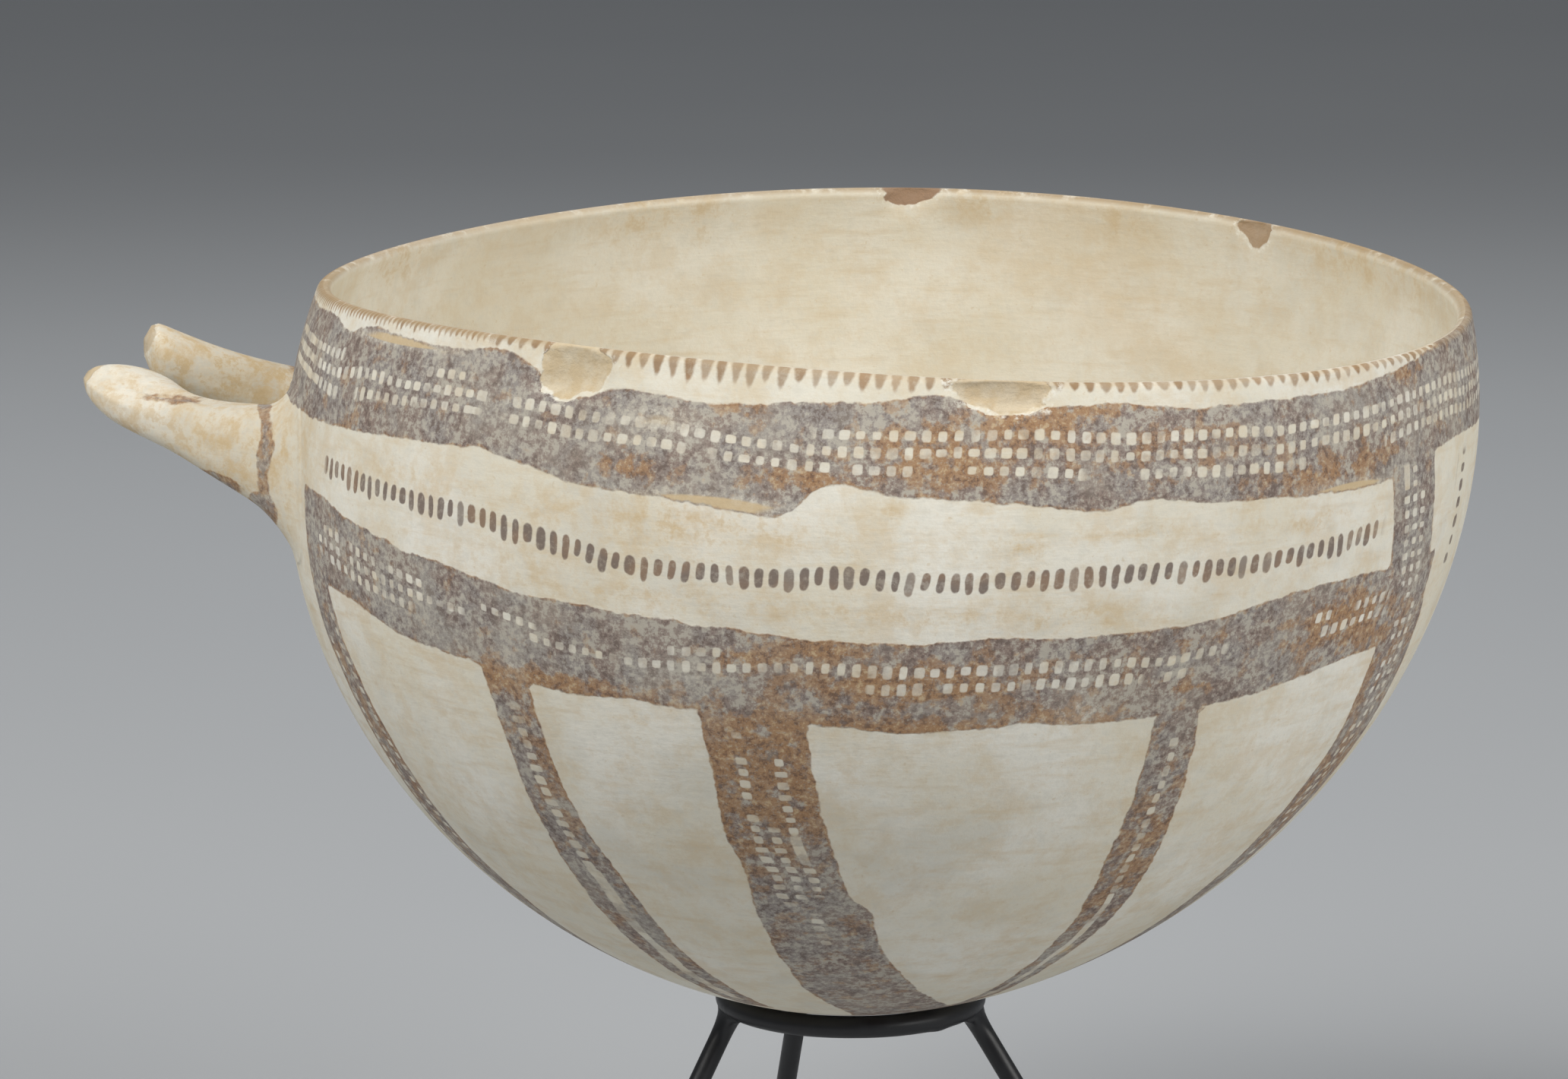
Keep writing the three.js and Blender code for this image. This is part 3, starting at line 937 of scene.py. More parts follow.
# Soft patches: where the paint fired orange, where it is thin, and where the slip is stained
RUST = (
    Patch(-66, 106, 16, 5.5, 0.45), Patch(-74, 101, 9, 3, 0.4), Patch(-72, 72, 16, 6, 0.45),
    Patch(-50, 106, 7, 5, 0.3), Patch(-30, 76.5, 9, 6, 0.35), Patch(-28, 102, 9, 4, 0.3),
    Patch(-139, 99.5, 8, 2, 0.35), Patch(-104, 100.5, 4, 1.6, 0.9), Patch(-94, 109.3, 2.5, 1.2, 0.8),
    Patch(-89.5, 100.5, 4, 2.6, 0.75), Patch(-85.5, 100.5, 1.6, 1.6, 0.9), Patch(-77, 105.5, 5, 3.2, 0.85),
    Patch(-67, 109.8, 5, 2.4, 0.95), Patch(-60, 111.5, 5, 1.0, 0.6), Patch(-36, 100, 7, 2.6, 0.8),
    Patch(-22, 112.5, 3, 1.4, 0.8), Patch(-109, 67.8, 7, 1.5, 0.95), Patch(-118, 67, 5, 2.5, 0.7),
    Patch(-92, 74.6, 3.2, 1.6, 0.8), Patch(-84.5, 76.6, 4, 1.6, 0.8), Patch(-76, 71.5, 9, 3.0, 0.7),
    Patch(-76, 64.9, 11, 1.0, 0.9), Patch(-60.5, 66.4, 6, 1.8, 0.85), Patch(-48.5, 76.8, 3.5, 1.4, 0.8),
    Patch(-48, 69.6, 2.2, 1.0, 0.9), Patch(-30, 76.5, 8, 5, 0.6), Patch(-20, 70, 8, 8, 0.45),
    Patch(-91, 58, 5, 9, 0.95), Patch(-85.5, 54, 4, 10, 0.75), Patch(-92, 46, 3, 7, 0.6),
    Patch(-46, 45, 4, 9, 0.6), Patch(-45, 33, 4, 7, 0.5), Patch(-113, 55, 5, 14, 0.4),
    Patch(-142, 58, 7, 22, 0.45), Patch(-17, 45, 8, 16, 0.5), Patch(-78, 25, 18, 9, 0.12),
    Patch(60, 104, 9, 4, 0.6), Patch(100, 100, 8, 3, 0.7), Patch(130, 106, 7, 3, 0.5),
    Patch(45, 74, 10, 4, 0.6), Patch(90, 66, 12, 3, 0.8), Patch(115, 76, 8, 3, 0.5),
    Patch(88, 50, 6, 12, 0.8), Patch(20, 60, 7, 20, 0.45), Patch(143, 60, 8, 20, 0.45),
)

THIN_PAINT = (
    Patch(-101.5, 106.8, 4.2, 2.2, 1.0), Patch(-134.5, 112.3, 9.5, 0.8, 1.6), Patch(-96, 96.3, 8, 1.4, 1.7),
    Patch(-32, 97.2, 6, 1.1, 1.6), Patch(-115.5, 68.6, 1.4, 2.6, 0.8), Patch(-97, 70.5, 5, 3, 0.45),
    Patch(-59.5, 66.5, 3, 3.4, 0.85), Patch(-130, 74.6, 4, 2, 0.4), Patch(-80.5, 50, 1.8, 8, 0.7),
    Patch(-43.5, 21.5, 2.0, 2.4, 1.2),
    Patch(-12.5, 108, 5, 4, 0.5), Patch(120, 100, 6, 3, 0.6), Patch(60, 70, 6, 3, 0.5),
)

STAINS = (
    Patch(-97.5, 97.2, 5.5, 0.9, 0.9), Patch(-31, 97.2, 5.5, 0.8, 0.8), Patch(-99, 91, 6, 4, 0.5),
    Patch(-116, 84.5, 6, 3, 0.35), Patch(-152, 91, 4, 8, 0.55), Patch(-66, 93.5, 5, 1.5, 0.45),
    Patch(-60, 81.5, 4, 2, 0.6), Patch(-88, 92.5, 6, 2.5, 0.35), Patch(-45, 94, 6, 2, 0.3),
    Patch(-67.6, 91.8, 1.2, 0.8, 2.2), Patch(-64.2, 80.6, 1.5, 0.7, 1.4), Patch(-79.4, 97.0, 0.5, 1.2, 1.4),
    Patch(-55.8, 94.0, 2.5, 0.6, 1.2), Patch(-101.4, 63.6, 0.7, 0.5, 1.6), Patch(-38, 92.5, 3, 1.0, 1.0),
    Patch(-34, 94.2, 2, 0.8, 1.0), Patch(-96, 93.5, 9, 2.5, 0.7), Patch(-110, 93, 8, 2, 0.5),
    Patch(-100, 82.5, 12, 1.6, 0.7), Patch(-75, 82, 14, 1.6, 0.6), Patch(-130, 94, 10, 2.5, 0.4),
    Patch(-162, 86, 5, 10, 0.5), Patch(160, 86, 6, 10, 0.5), Patch(80, 92, 10, 4, 0.4),
)

INNER_DRIPS = (
    Patch(166, 112.5, 4.5, 3.4, 1.0), Patch(129, 112.5, 4, 3.4, 0.9), Patch(122, 112, 2, 4.0, 0.7),
    Patch(91, 113, 3, 2.4, 0.8), Patch(74, 112, 2.2, 2.6, 0.8), Patch(41, 113, 8, 3.0, 0.9),
    Patch(27, 113, 5, 2.6, 0.7), Patch(-150, 112, 5, 3.0, 0.6), Patch(-60, 112, 6, 3.0, 0.6),
    Patch(-100, 112, 4, 3.0, 0.6), Patch(5, 110, 4, 4.0, 0.5),
)

# How far the crest of the lip is worn, by azimuth
CREST_WEAR = (
    (-180, 1.0), (-150, 1.0), (-124, 0.9), (-100, 0.4), (-60, 0.4), (-20, 0.4), (10, 0.9), (60, 1.0),
    (100, 0.9), (140, 0.7), (180, 0.9),
)

FLAKES = (
    Flake(-111.4, 112.4, 11.5, 8.5, 3.0, inside=False, redness=0.0),
    Flake(-70.2, 113.6, 14.0, 5.6, 2.6, inside=False, redness=0.12),
    Flake(98.9, 114.6, 9.5, 4.4, 2.6, inside=True, redness=1.0),
    Flake(57.2, 113.6, 7.0, 5.0, 2.4, inside=True, redness=0.7),
)

NEAR_STUMP = Stump(
    name="near",
    seed=11,
    root=(-84, -28.5, 87.4),
    tip=(-118.6, -16.5, 96.2),
    sag=3.2,
    tip_half_height=4.0,
    root_swell=4.6,
    tip_half_width=4.3,
    root_widening=2.2,
    web_remnant=5.5,
    worn_tip=8.0,
    squareness=2.5,
    shoulder=2.4,
    groove=1.0,
)
FAR_STUMP = Stump(
    name="far",
    seed=14,
    root=(-84, 31, 81.2),
    tip=(-119.8, 18, 95.2),
    sag=3.0,
    tip_half_height=4.9,
    root_swell=3.8,
    tip_half_width=4.2,
    root_widening=2.2,
    web_remnant=2.0,
    worn_tip=3.2,
    squareness=2.4,
    shoulder=0.0,
    groove=0.0,
)
STUMPS = (NEAR_STUMP, FAR_STUMP)

# How far along each stump its broken face begins, and about how long a stump is
NEAR_BREAK = 0.955
FAR_BREAK = 0.99
STUMP_LENGTH = 38.0

# Depths that mean well outside any paint or scar
NO_PAINT = -3.0
NO_SCAR = -4.0

# The ticks under the lip stand closer together by the handle, up to an azimuth
CLOSE_TICKS_END = -121.0
CLOSE_TICK_PITCH = 1.2
TICK_PITCH = 2.3
DOT_COLUMN_HALF_WIDTH = 4.0
CREST_STARTS = 114.2
CREST_FULL = 115.0

# The dabs on the stumps, then how far from the wall the stripe round their roots starts and stops
STUMP_DABS = (
    Dab((-85.4, -32.5, 80.7), (3.4, 6.0, 2.8)),
    Dab((-95.2, -29.0, 83.7), (8.0, 5.0, 1.5)),
    # The third darkens the groove along the top of the near stump.
    Dab((-102.4, -24.0, 95.1), (3.8, 2.0, 0.45)),
    Dab((-95.0, 27.0, 91.4), (3.4, 4.0, 0.8)),
)
ROOT_STRIPE = (2.9, 4.5)


class BowlPainter:
    """Works out, for every corner of the bowl's mesh, what the potter's brush and time did, and painted
    shade.
    """

    def __init__(self, points: np.ndarray) -> None:
        """Locates the corners on the bowl.

        Args:
            points: the corners in the bowl's frame, in millimetres.
        """
        self.points = points
        self.azimuth, self.height, self.clearance = FORM.locate(points)
        below_lip = smoothstep(-1.4, -0.8, self.clearance)
        self.on_wall = below_lip * (1 - smoothstep(0.25, 0.9, self.clearance))
        self.inside = 1 - smoothstep(-2.2, -1.2, self.clearance)
        self.on_stump = smoothstep(0.3, 1.2, self.clearance)
        self.on_near_side = points[:, 1] < 0
        self.depths = np.stack([shape.depth(self.azimuth, self.height) for shape in PAINTWORK])
        self.deepest = self.depths.argmax(axis=0)

    def nearest(self, readings: Sequence[np.ndarray]) -> np.ndarray:
        """Of one reading for each band and strip, the one that each corner lies deepest in."""
        return np.stack(readings)[self.deepest, np.arange(len(self.deepest))]

    def lattice(self) -> np.ndarray:
        """Where each corner lies among the bare squares."""
        return self.nearest([shape.lattice(self.azimuth, self.height) for shape in PAINTWORK])

    def bars(self) -> np.ndarray:
        """How plainly the bars between the squares show."""
        return self.nearest([shape.bar_strength(self.azimuth, self.height) for shape in PAINTWORK])

    def sum_of(self, patches: Sequence[Patch]) -> np.ndarray:
        """What soft patches add up to at each corner."""
        return np.sum([patch.weight(self.azimuth, self.height) for patch in patches], axis=0)

    def paint_depth(self) -> np.ndarray:
        """How far each corner lies inside painted ground, in millimetres."""
        on_wall = np.where(self.on_wall > 0.5, self.depths.max(axis=0), NO_PAINT)
        dabs = np.max([dab.depth(self.points) for dab in STUMP_DABS], axis=0)
        start, stop = ROOT_STRIPE
        around = 0.9 * ripple(self.points[:, 2] / 1.6, self.points[:, 0] / 3, 9)
        stripe = np.minimum(self.clearance - start, stop - self.clearance) + around
        on_stump = np.where(self.clearance > 0.2, np.maximum(dabs, stripe), NO_PAINT)
        return np.maximum(on_wall, on_stump)

    def cell_sizes(self) -> np.ndarray:
        """The half sizes of the bare squares in the band or strip that each corner lies in."""
        sizes = np.array([(*shape.half_cell, 0.0) for shape in PAINTWORK])
        return sizes[self.deepest]

    def clear_rows(self) -> np.ndarray:
        """How plainly the rows show, kept off where one painted shape crosses another."""
        second, first = np.sort(self.depths, axis=0)[-2:]
        apart = smoothstep(0.0, 1.6, first - np.maximum(second, 0.0))
        rows = self.nearest([shape.row_strength(self.azimuth, self.height) for shape in PAINTWORK])
        return rows * apart[:, None]

    def strokes(self) -> np.ndarray:
        """Upright strokes: counted along, the offset from the line in half lengths, and the strength."""
        shown = within(STROKES.spans, self.azimuth, 0.6) * self.on_wall
        along = np.radians(self.azimuth) * FORM.belly_radius / STROKES.pitch
        offset = (self.height - smooth_curve(STROKES.line, self.azimuth)) / STROKES.half_length
        for dots in DOTS:
            across = np.radians(self.azimuth - dots.azimuth) * FORM.belly_radius
            column = np.abs(across) < DOT_COLUMN_HALF_WIDTH
            rising = within(((dots.low, dots.high),), self.height, 1.0) * self.on_wall
            shown = np.where(column, rising, shown)
            along = np.where(column, self.height / dots.pitch, along)
            offset = np.where(column, across / dots.half_length, offset)
        return np.stack([along, offset, shown], axis=-1)

    def ticks(self) -> np.ndarray:
        """Ticks hanging from the lip: counted along, the drop below the crest, and their length."""
        pitch = np.where(self.azimuth < CLOSE_TICKS_END, CLOSE_TICK_PITCH, TICK_PITCH)
        along = np.radians(self.azimuth) * FORM.outer_radius(np.array(FORM.height)) / pitch
        length = smooth_curve(TICK_LENGTHS, self.azimuth)
        shown = np.where((self.clearance > -0.7) & (self.on_stump < 0.1), length, 0.0)
        return np.stack([along, FORM.height - 0.2 - self.height, shown], axis=-1)

    def scars(self) -> np.ndarray:
        """Lost flakes and breaks: the depth inside one, how red its clay is, and the worn edge of the lip."""
        depth = np.full(len(self.points), NO_SCAR)
        redness = np.zeros(len(self.points))
        for flake in FLAKES:
            same_side = self.clearance < -0.5 if flake.inside else self.clearance > -2.4
            in_flake = np.where(same_side, flake.depth(self.azimuth, self.height), NO_SCAR)
            redness = np.where(in_flake > depth, flake.redness, redness)
            depth = np.maximum(depth, in_flake)
        share = np.where(self.on_near_side, *(stump.share_of(self.points) for stump in STUMPS))
        past_break = (share - np.where(self.on_near_side, NEAR_BREAK, FAR_BREAK)) * STUMP_LENGTH
        depth = np.where(self.clearance > 5, past_break, depth)
        redness = np.where(self.clearance > 5, np.where(self.on_near_side, 0.05, 0.2), redness)
        crest = smoothstep(CREST_STARTS, CREST_FULL, self.height) * (1 - self.on_stump)
        return np.stack([depth, redness, crest * smooth_curve(CREST_WEAR, self.azimuth)], axis=-1)

    def tones(self) -> np.ndarray:
        """Rust in the paint, stain and painted shade on the slip, and whether the corner is inside the bowl.
        """
        rust = self.sum_of(RUST) + 0.12 + 0.14 * (1 - smoothstep(60, 72, self.height))
        stain_and_shade = np.where(self.clearance < -0.8, 1.8 * self.sum_of(INNER_DRIPS), self.sum_of(STAINS))
        # Stain on the stumps; the far stump's is heavier, as painted shade.
        stain_and_shade = stain_and_shade + np.where(self.on_near_side, 0.8, 1.5) * self.on_stump
        return np.stack([rust + 0.5 * self.on_stump, stain_and_shade, self.inside], axis=-1)

    def thinness(self) -> np.ndarray:
        """How thin the paint is worn."""
        return np.maximum(self.sum_of(THIN_PAINT), 0.3 * self.on_stump)

    def paint(self, mesh: bpy.types.Mesh) -> None:
        """Stores all of it as attributes of the mesh."""
        attributes = {
            "paint_depth": self.paint_depth(),
            "lattice": self.lattice(),
            "rows": self.clear_rows(),
            "bars": self.bars(),
            "cell": self.cell_sizes(),
            "strokes": self.strokes(),
            "ticks": self.ticks(),
            "scars": self.scars(),
            "tones": self.tones(),
            "thinness": self.thinness(),
        }
        for name, values in attributes.items():
            put_attribute(mesh, name, values)


# Shader maths

Term = Union["Field", float]

# The places of a Mix node's sockets for colours
FACTOR_INPUT = 0
FIRST_COLOUR_INPUT = 6
SECOND_COLOUR_INPUT = 7
COLOUR_OUTPUT = 2


class Field:
    """A number that varies over a surface: a socket whose operators add Math nodes."""

    def __init__(self, graph: "Graph", socket: bpy.types.NodeSocket) -> None:
        """Wraps a socket of the graph."""
        self.graph = graph
        self.socket = socket

    def __add__(self, other: Term) -> "Field":
        """The sum."""
        return self.graph.maths("ADD", self, other)

    def __sub__(self, other: Term) -> "Field":
        """The difference."""
        return self.graph.maths("SUBTRACT", self, other)

    def __rsub__(self, other: Term) -> "Field":
        """The difference from a number."""
        return self.graph.maths("SUBTRACT", other, self)

    def __mul__(self, other: Term) -> "Field":
        """The product."""
        return self.graph.maths("MULTIPLY", self, other)

    def __truediv__(self, other: Term) -> "Field":
        """The quotient."""
        return self.graph.maths("DIVIDE", self, other)

    def __abs__(self) -> "Field":
        """The size without the sign."""
        return self.graph.maths("ABSOLUTE", self)

    def __pow__(self, other: Term) -> "Field":
        """The power."""
        return self.graph.maths("POWER", self, other)

    __radd__ = __add__
    __rmul__ = __mul__

    def floor(self) -> "Field":
        """The whole number below."""
        return self.graph.maths("FLOOR", self)

    def fraction(self) -> "Field":
        """What is left over the whole number below."""
        return self.graph.maths("FRACT", self)

    def least(self, other: Term) -> "Field":
        """The smaller of the two."""
        return self.graph.maths("MINIMUM", self, other)

    def most(self, other: Term) -> "Field":
        """The larger of the two."""
        return self.graph.maths("MAXIMUM", self, other)

    def rise(self, low: Term, high: Term) -> "Field":
        """0 below low and 1 above high, with an S-shaped rise between."""
        sockets = {"Value": self, "From Min": low, "From Max": high}
        node = self.graph.node("ShaderNodeMapRange", {"interpolation_type": "SMOOTHSTEP"}, sockets)
        return Field(self.graph, node.outputs["Result"])

    def clipped(self) -> "Field":
        """The number kept between 0 and 1."""
        return self.least(1.0).most(0.0)


class Graph:
    """The nodes of one material, around a Principled shader."""

    def __init__(self, name: str) -> None:
        """Starts a material with nothing but its shader and output."""
        self.material = bpy.data.materials.new(name)
        self.material.use_nodes = True
        self.tree = self.material.node_tree
        self.tree.nodes.clear()
        self.shader = self.tree.nodes.new("ShaderNodeBsdfPrincipled")
        output = self.tree.nodes.new("ShaderNodeOutputMaterial")
        self.tree.links.new(self.shader.outputs["BSDF"], output.inputs["Surface"])
        self.place = self.node("ShaderNodeTexCoord").outputs["Object"]

    def node(
        self, kind: str, settings: dict[str, Any] | None = None, sockets: dict[Any, Any] | None = None
    ) -> bpy.types.Node:
        """Adds a node.

        Args:
            kind: the node's type.
            settings: its own settings, which are set first.
            sockets: for each input, by name or place, its value or what is linked to it.

        Returns:
            The node.
        """
        node = self.tree.nodes.new(kind)
        for key, value in (settings or {}).items():
            setattr(node, key, value)
        for key, value in (sockets or {}).items():
            self.feed(node.inputs[key], value)
        return node

    def feed(self, socket: bpy.types.NodeSocket, value: Any) -> None:
        """Gives a socket a field, a link or a plain value."""
        if isinstance(value, Field):
            self.tree.links.new(value.socket, socket)
        elif isinstance(value, bpy.types.NodeSocket):
            self.tree.links.new(value, socket)
        elif isinstance(value, tuple) and socket.type == "RGBA":
            socket.default_value = (*value, 1.0)
        else:
            socket.default_value = value

    def maths(self, operation: str, *terms: Term) -> Field:
        """A Math node over one or two terms."""
        node = self.node("ShaderNodeMath", {"operation": operation}, dict(enumerate(terms)))
        return Field(self, node.outputs[0])

    def number(self, name: str) -> Field:
        """A number stored in the mesh."""
        node = self.node("ShaderNodeAttribute", {"attribute_name": name})
        return Field(self, node.outputs["Fac"])

    def vector(self, name: str) -> tuple[Field, Field, Field]:
        """The three parts of a vector stored in the mesh."""
        attribute = self.node("ShaderNodeAttribute", {"attribute_name": name})
        return self.parts(attribute.outputs["Vector"])

    def parts(self, vector: bpy.types.NodeSocket) -> tuple[Field, Field, Field]:
        """The three parts of a vector."""
        split = self.node("ShaderNodeSeparateXYZ", None, {"Vector": vector})
        return tuple(Field(self, split.outputs[axis]) for axis in "XYZ")

    def noise(
        self,
        size: float,
        detail: float = 2.0,
        roughness: float = 0.5,
        stretch: Triple = (1, 1, 1),
        shift: float = 0,
    ) -> Field:
        """Cloudy noise between 0 and 1.

        Args:
            size: the size of its clouds in millimetres.
            detail: how many finer layers it has.
            roughness: how strong the finer layers are.
            stretch: how many times finer it is along each axis.
            shift: how far the pattern is moved, so that two noises of one size differ.

        Returns:
            The noise.
        """
        scale = tuple(part / (size * MM) for part in stretch)
        sockets = {"Vector": self.place, "Scale": scale, "Location": (shift, shift * 1.7, -shift)}
        mapped = self.node("ShaderNodeMapping", None, sockets).outputs["Vector"]
        settings = {"noise_dimensions": "3D", "noise_type": "FBM"}
        sockets = {"Vector": mapped, "Scale": 1.0, "Detail": detail, "Roughness": roughness}
        return Field(self, self.node("ShaderNodeTexNoise", settings, sockets).outputs["Fac"])

    def dice(self, first: Term, second: Term) -> tuple[Field, Field, Field]:
        """Three random numbers between 0 and 1 for each pair of whole numbers."""
        pair = self.node("ShaderNodeCombineXYZ", None, {"X": first, "Y": second})
        thrown = self.node("ShaderNodeTexWhiteNoise", {"noise_dimensions": "2D"}, {"Vector": pair.outputs[0]})
        return self.parts(thrown.outputs["Color"])

    def mix(self, share: Term, first: Any, second: Any) -> bpy.types.NodeSocket:
        """A colour between two, by share."""
        settings = {"data_type": "RGBA", "clamp_factor": True}
        sockets = {FACTOR_INPUT: share, FIRST_COLOUR_INPUT: first, SECOND_COLOUR_INPUT: second}
        return self.node("ShaderNodeMix", settings, sockets).outputs[COLOUR_OUTPUT]

    def bump(self, height: Field, depth: float) -> None:
        """Feeds a relief of a depth in millimetres to the shader's Normal."""
        sockets = {"Height": height, "Distance": depth * MM, "Strength": 1.0}
        node = self.node("ShaderNodeBump", None, sockets)
        self.tree.links.new(node.outputs["Normal"], self.shader.inputs["Normal"])

    def finish(self, sockets: dict[str, Any]) -> bpy.types.Material:
        """Feeds the shader's own sockets, by their names, and returns the material."""
        for name, value in sockets.items():
            self.feed(self.shader.inputs[name], value)
        return self.material


@dataclass(frozen=True)
class PaintedSlip:
    """Matt cream slip over buff clay, with thin brown and grey paint that fired orange in places.

    In its methods a noise is given by the size of its clouds in millimetres, how many finer layers it
    has and how strong they are. The pair of a rise is where a pattern starts and where it is full, and
    the number that a share is multiplied by is how much of a colour shows at most.
    """

    slip: Colour = (0.735, 0.685, 0.56)
    pale_slip: Colour = (0.81, 0.78, 0.69)
    grey_slip: Colour = (0.63, 0.605, 0.525)
    # A darker copy of the slip, laid inside the bowl as painted shade.
    painted_inner_shade: Colour = (0.60, 0.55, 0.44)
    # The buff of stains and wiping marks, also laid on the far stump as painted shade.
    stain_and_shade: Colour = (0.61, 0.455, 0.255)
    clay: Colour = (0.595, 0.475, 0.305)
    red_clay: Colour = (0.285, 0.175, 0.11)
    grey_paint: Colour = (0.275, 0.248, 0.232)
    brown_paint: Colour = (0.245, 0.178, 0.148)
    dark_paint: Colour = (0.120, 0.080, 0.066)
    pale_paint: Colour = (0.47, 0.432, 0.36)
    rust_paint: Colour = (0.355, 0.19, 0.082)
    dark_rust: Colour = (0.165, 0.082, 0.042)
    washed_paint: Colour = (0.62, 0.47, 0.27)
    edge_wear: Colour = (0.35, 0.235, 0.115)
    stroke_paint: Colour = (0.155, 0.118, 0.102)
    tick_paint: Colour = (0.27, 0.155, 0.07)
    roughness: float = 0.82
    refraction: float = 1.45
    relief_depth: float = 0.16
    paint_edge: tuple[float, float] = (-0.12, 0.22)

    def bare_cells(self, graph: Graph) -> Field:
        """Squares and rungs that the brush left bare: 1 inside one, 0 on the bars and lines."""
        along, up, _ = graph.vector("lattice")
        low, middle, high = graph.vector("rows")
        low_bar, middle_bar, high_bar = graph.vector("bars")
        half_along, half_up, _ = graph.vector("cell")
        wander = (graph.noise(8.0, 1.0, shift=3.1) - 0.5) * 0.35
        sway = (graph.noise(9.0, 1.0, shift=8.4) - 0.5) * 0.35
        along = along + wander
        row = (up + sway + 0.5).floor()
        in_row = abs(up + sway - row)
        in_column = abs(along.fraction() - 0.5)
        random_width, random_height, random_show = graph.dice(along.floor(), row)
        upper = row.rise(0.4, 0.6)
        lower = 1.0 - row.rise(-0.6, -0.4)
        on_rows = 1.0 - abs(row).rise(1.4, 1.6)
        centre = 1.0 - upper - lower
        shown = (upper * high + lower * low + centre * middle) * on_rows
        barred = upper * high_bar + lower * low_bar + centre * middle_bar
        across = in_column / (half_along * (0.80 + random_width * 0.40)) * barred
        upright = in_row / (half_up * (0.80 + random_height * 0.40))
        ragged = (graph.noise(0.7, 2.0, shift=16.0) - 0.5) * 0.9
        inside = 1.0 - (across ** 4.0 + upright ** 4.0 + ragged).rise(0.40, 1.6)
        smudge = graph.noise(6.0, 3.0, 0.6, shift=12.7).rise(0.36, 0.50)
        kept = random_show.rise(0.0, 0.05) * (0.60 + 0.40 * random_show) * (0.5 + 0.5 * smudge)
        return inside * (shown * 1.6 - 0.3).clipped() * kept

    def strokes(self, graph: Graph) -> Field:
        """Short upright strokes with round ends, some run together and some nearly worn away."""
        along, offset, shown = graph.vector("strokes")
        along = along + (graph.noise(6.0, 1.0, shift=5.2) - 0.5) * 0.6
        width, length, strength = graph.dice(along.floor(), 3.0)
        across = abs(along.fraction() - 0.5) / (0.27 + width * 0.11)
        upright = abs(offset + (length - 0.5) * 0.35) / (0.70 + length * 0.40)
        edge = graph.noise(0.8, 2.0, shift=1.3) * 0.5
        body = 1.0 - (across * across + upright ** 4.0 + edge - 0.25).rise(0.55, 1.15)
        return body * shown * (0.84 + strength.rise(0.02, 0.3) * 0.16)

    def ticks(self, graph: Graph) -> Field:
        """Short strokes that hang from the lip and taper downwards."""
        along, drop, length = graph.vector("ticks")
        along = along + (graph.noise(7.0, 1.0, shift=2.7) - 0.5) * 0.5
        width, reach, strength = graph.dice(along.floor(), 7.0)
        down = (drop / (length * (0.78 + reach * 0.4)).most(0.05)).most(0.0)
        taper = (0.34 + width * 0.10) * (1.0 - down ** 1.7 * 0.8).most(0.0)
        across = abs(along.fraction() - 0.5) + (graph.noise(0.9, 2.0) - 0.5) * 0.2
        side = 1.0 - across.rise(taper - 0.13, taper + 0.09)
        end = 1.0 - down.rise(0.75, 1.10)
        return side * end * length.rise(0.3, 0.8) * (0.62 + strength * 0.38)

    def painted(self, graph: Graph) -> tuple[Field, Field]:
        """How much paint covers a place, and how deep it lies inside the painted edges."""
        broad = (graph.noise(4.5, 2.0, shift=6.6) - 0.5) * 1.3
        fine = (graph.noise(1.1, 2.0, shift=4.2) - 0.5) * 0.6
        depth = graph.number("paint_depth") + (broad + fine)
        return depth.rise(*self.paint_edge) * (1.0 - self.bare_cells(graph)), depth

    def paint_colour(self, graph: Graph, depth: Field) -> bpy.types.NodeSocket:
        """The mottled colour of the paint: grey and brown clouds, pale flecks and rust."""
        rust, _, _ = graph.vector("tones")
        cloud = graph.noise(7.0, 3.0, 0.6, shift=9.0)
        fleck = graph.noise(1.1, 3.0, 0.74, shift=1.9)
        grain = fleck + (graph.noise(4.5, 3.0, shift=18.4) - 0.5) * 0.42
        edge = 1.0 - depth.rise(0.0, 0.75)
        brown = (cloud.rise(0.40, 0.60) * 0.8 + rust * 0.7 + edge * 0.5).clipped()
        colour = graph.mix(brown, self.grey_paint, self.brown_paint)
        colour = graph.mix(grain.rise(0.48, 0.62) * 0.85, colour, self.pale_paint)
        colour = graph.mix((1.0 - grain.rise(0.36, 0.47)) * 0.80, colour, self.dark_paint)
        haze = graph.noise(11.0, 3.0, 0.6, shift=21.3).rise(0.46, 0.66)
        colour = graph.mix(haze * 0.24, colour, self.pale_paint)
        flame = graph.noise(3.4, 4.0, 0.66, shift=7.7)
        rusty = (rust + edge * 0.45).least(1.0)
        rusty = flame.rise(0.60 - rusty * 0.24, 0.70 - rusty * 0.22) * (0.40 + rusty * 0.50)
        fired = graph.mix(fleck.rise(0.34, 0.52), self.dark_rust, self.rust_paint)
        fired = graph.mix(fleck.rise(0.56, 0.66) * 0.6, fired, self.washed_paint)
        colour = graph.mix(rusty.clipped(), colour, fired)
        dust = graph.noise(0.5, 2.0, 0.6, shift=15.2).rise(0.56, 0.70)
        colour = graph.mix(dust * 0.4, colour, self.pale_paint)
        return graph.mix(self.washed(graph) * depth.rise(0.05, 0.45) * 0.9, colour, self.washed_paint)

    def washed(self, graph: Graph) -> Field:
        """Where the paint was so thin that it fired to a yellow wash."""
        return graph.number("thinness").rise(0.80, 1.10)

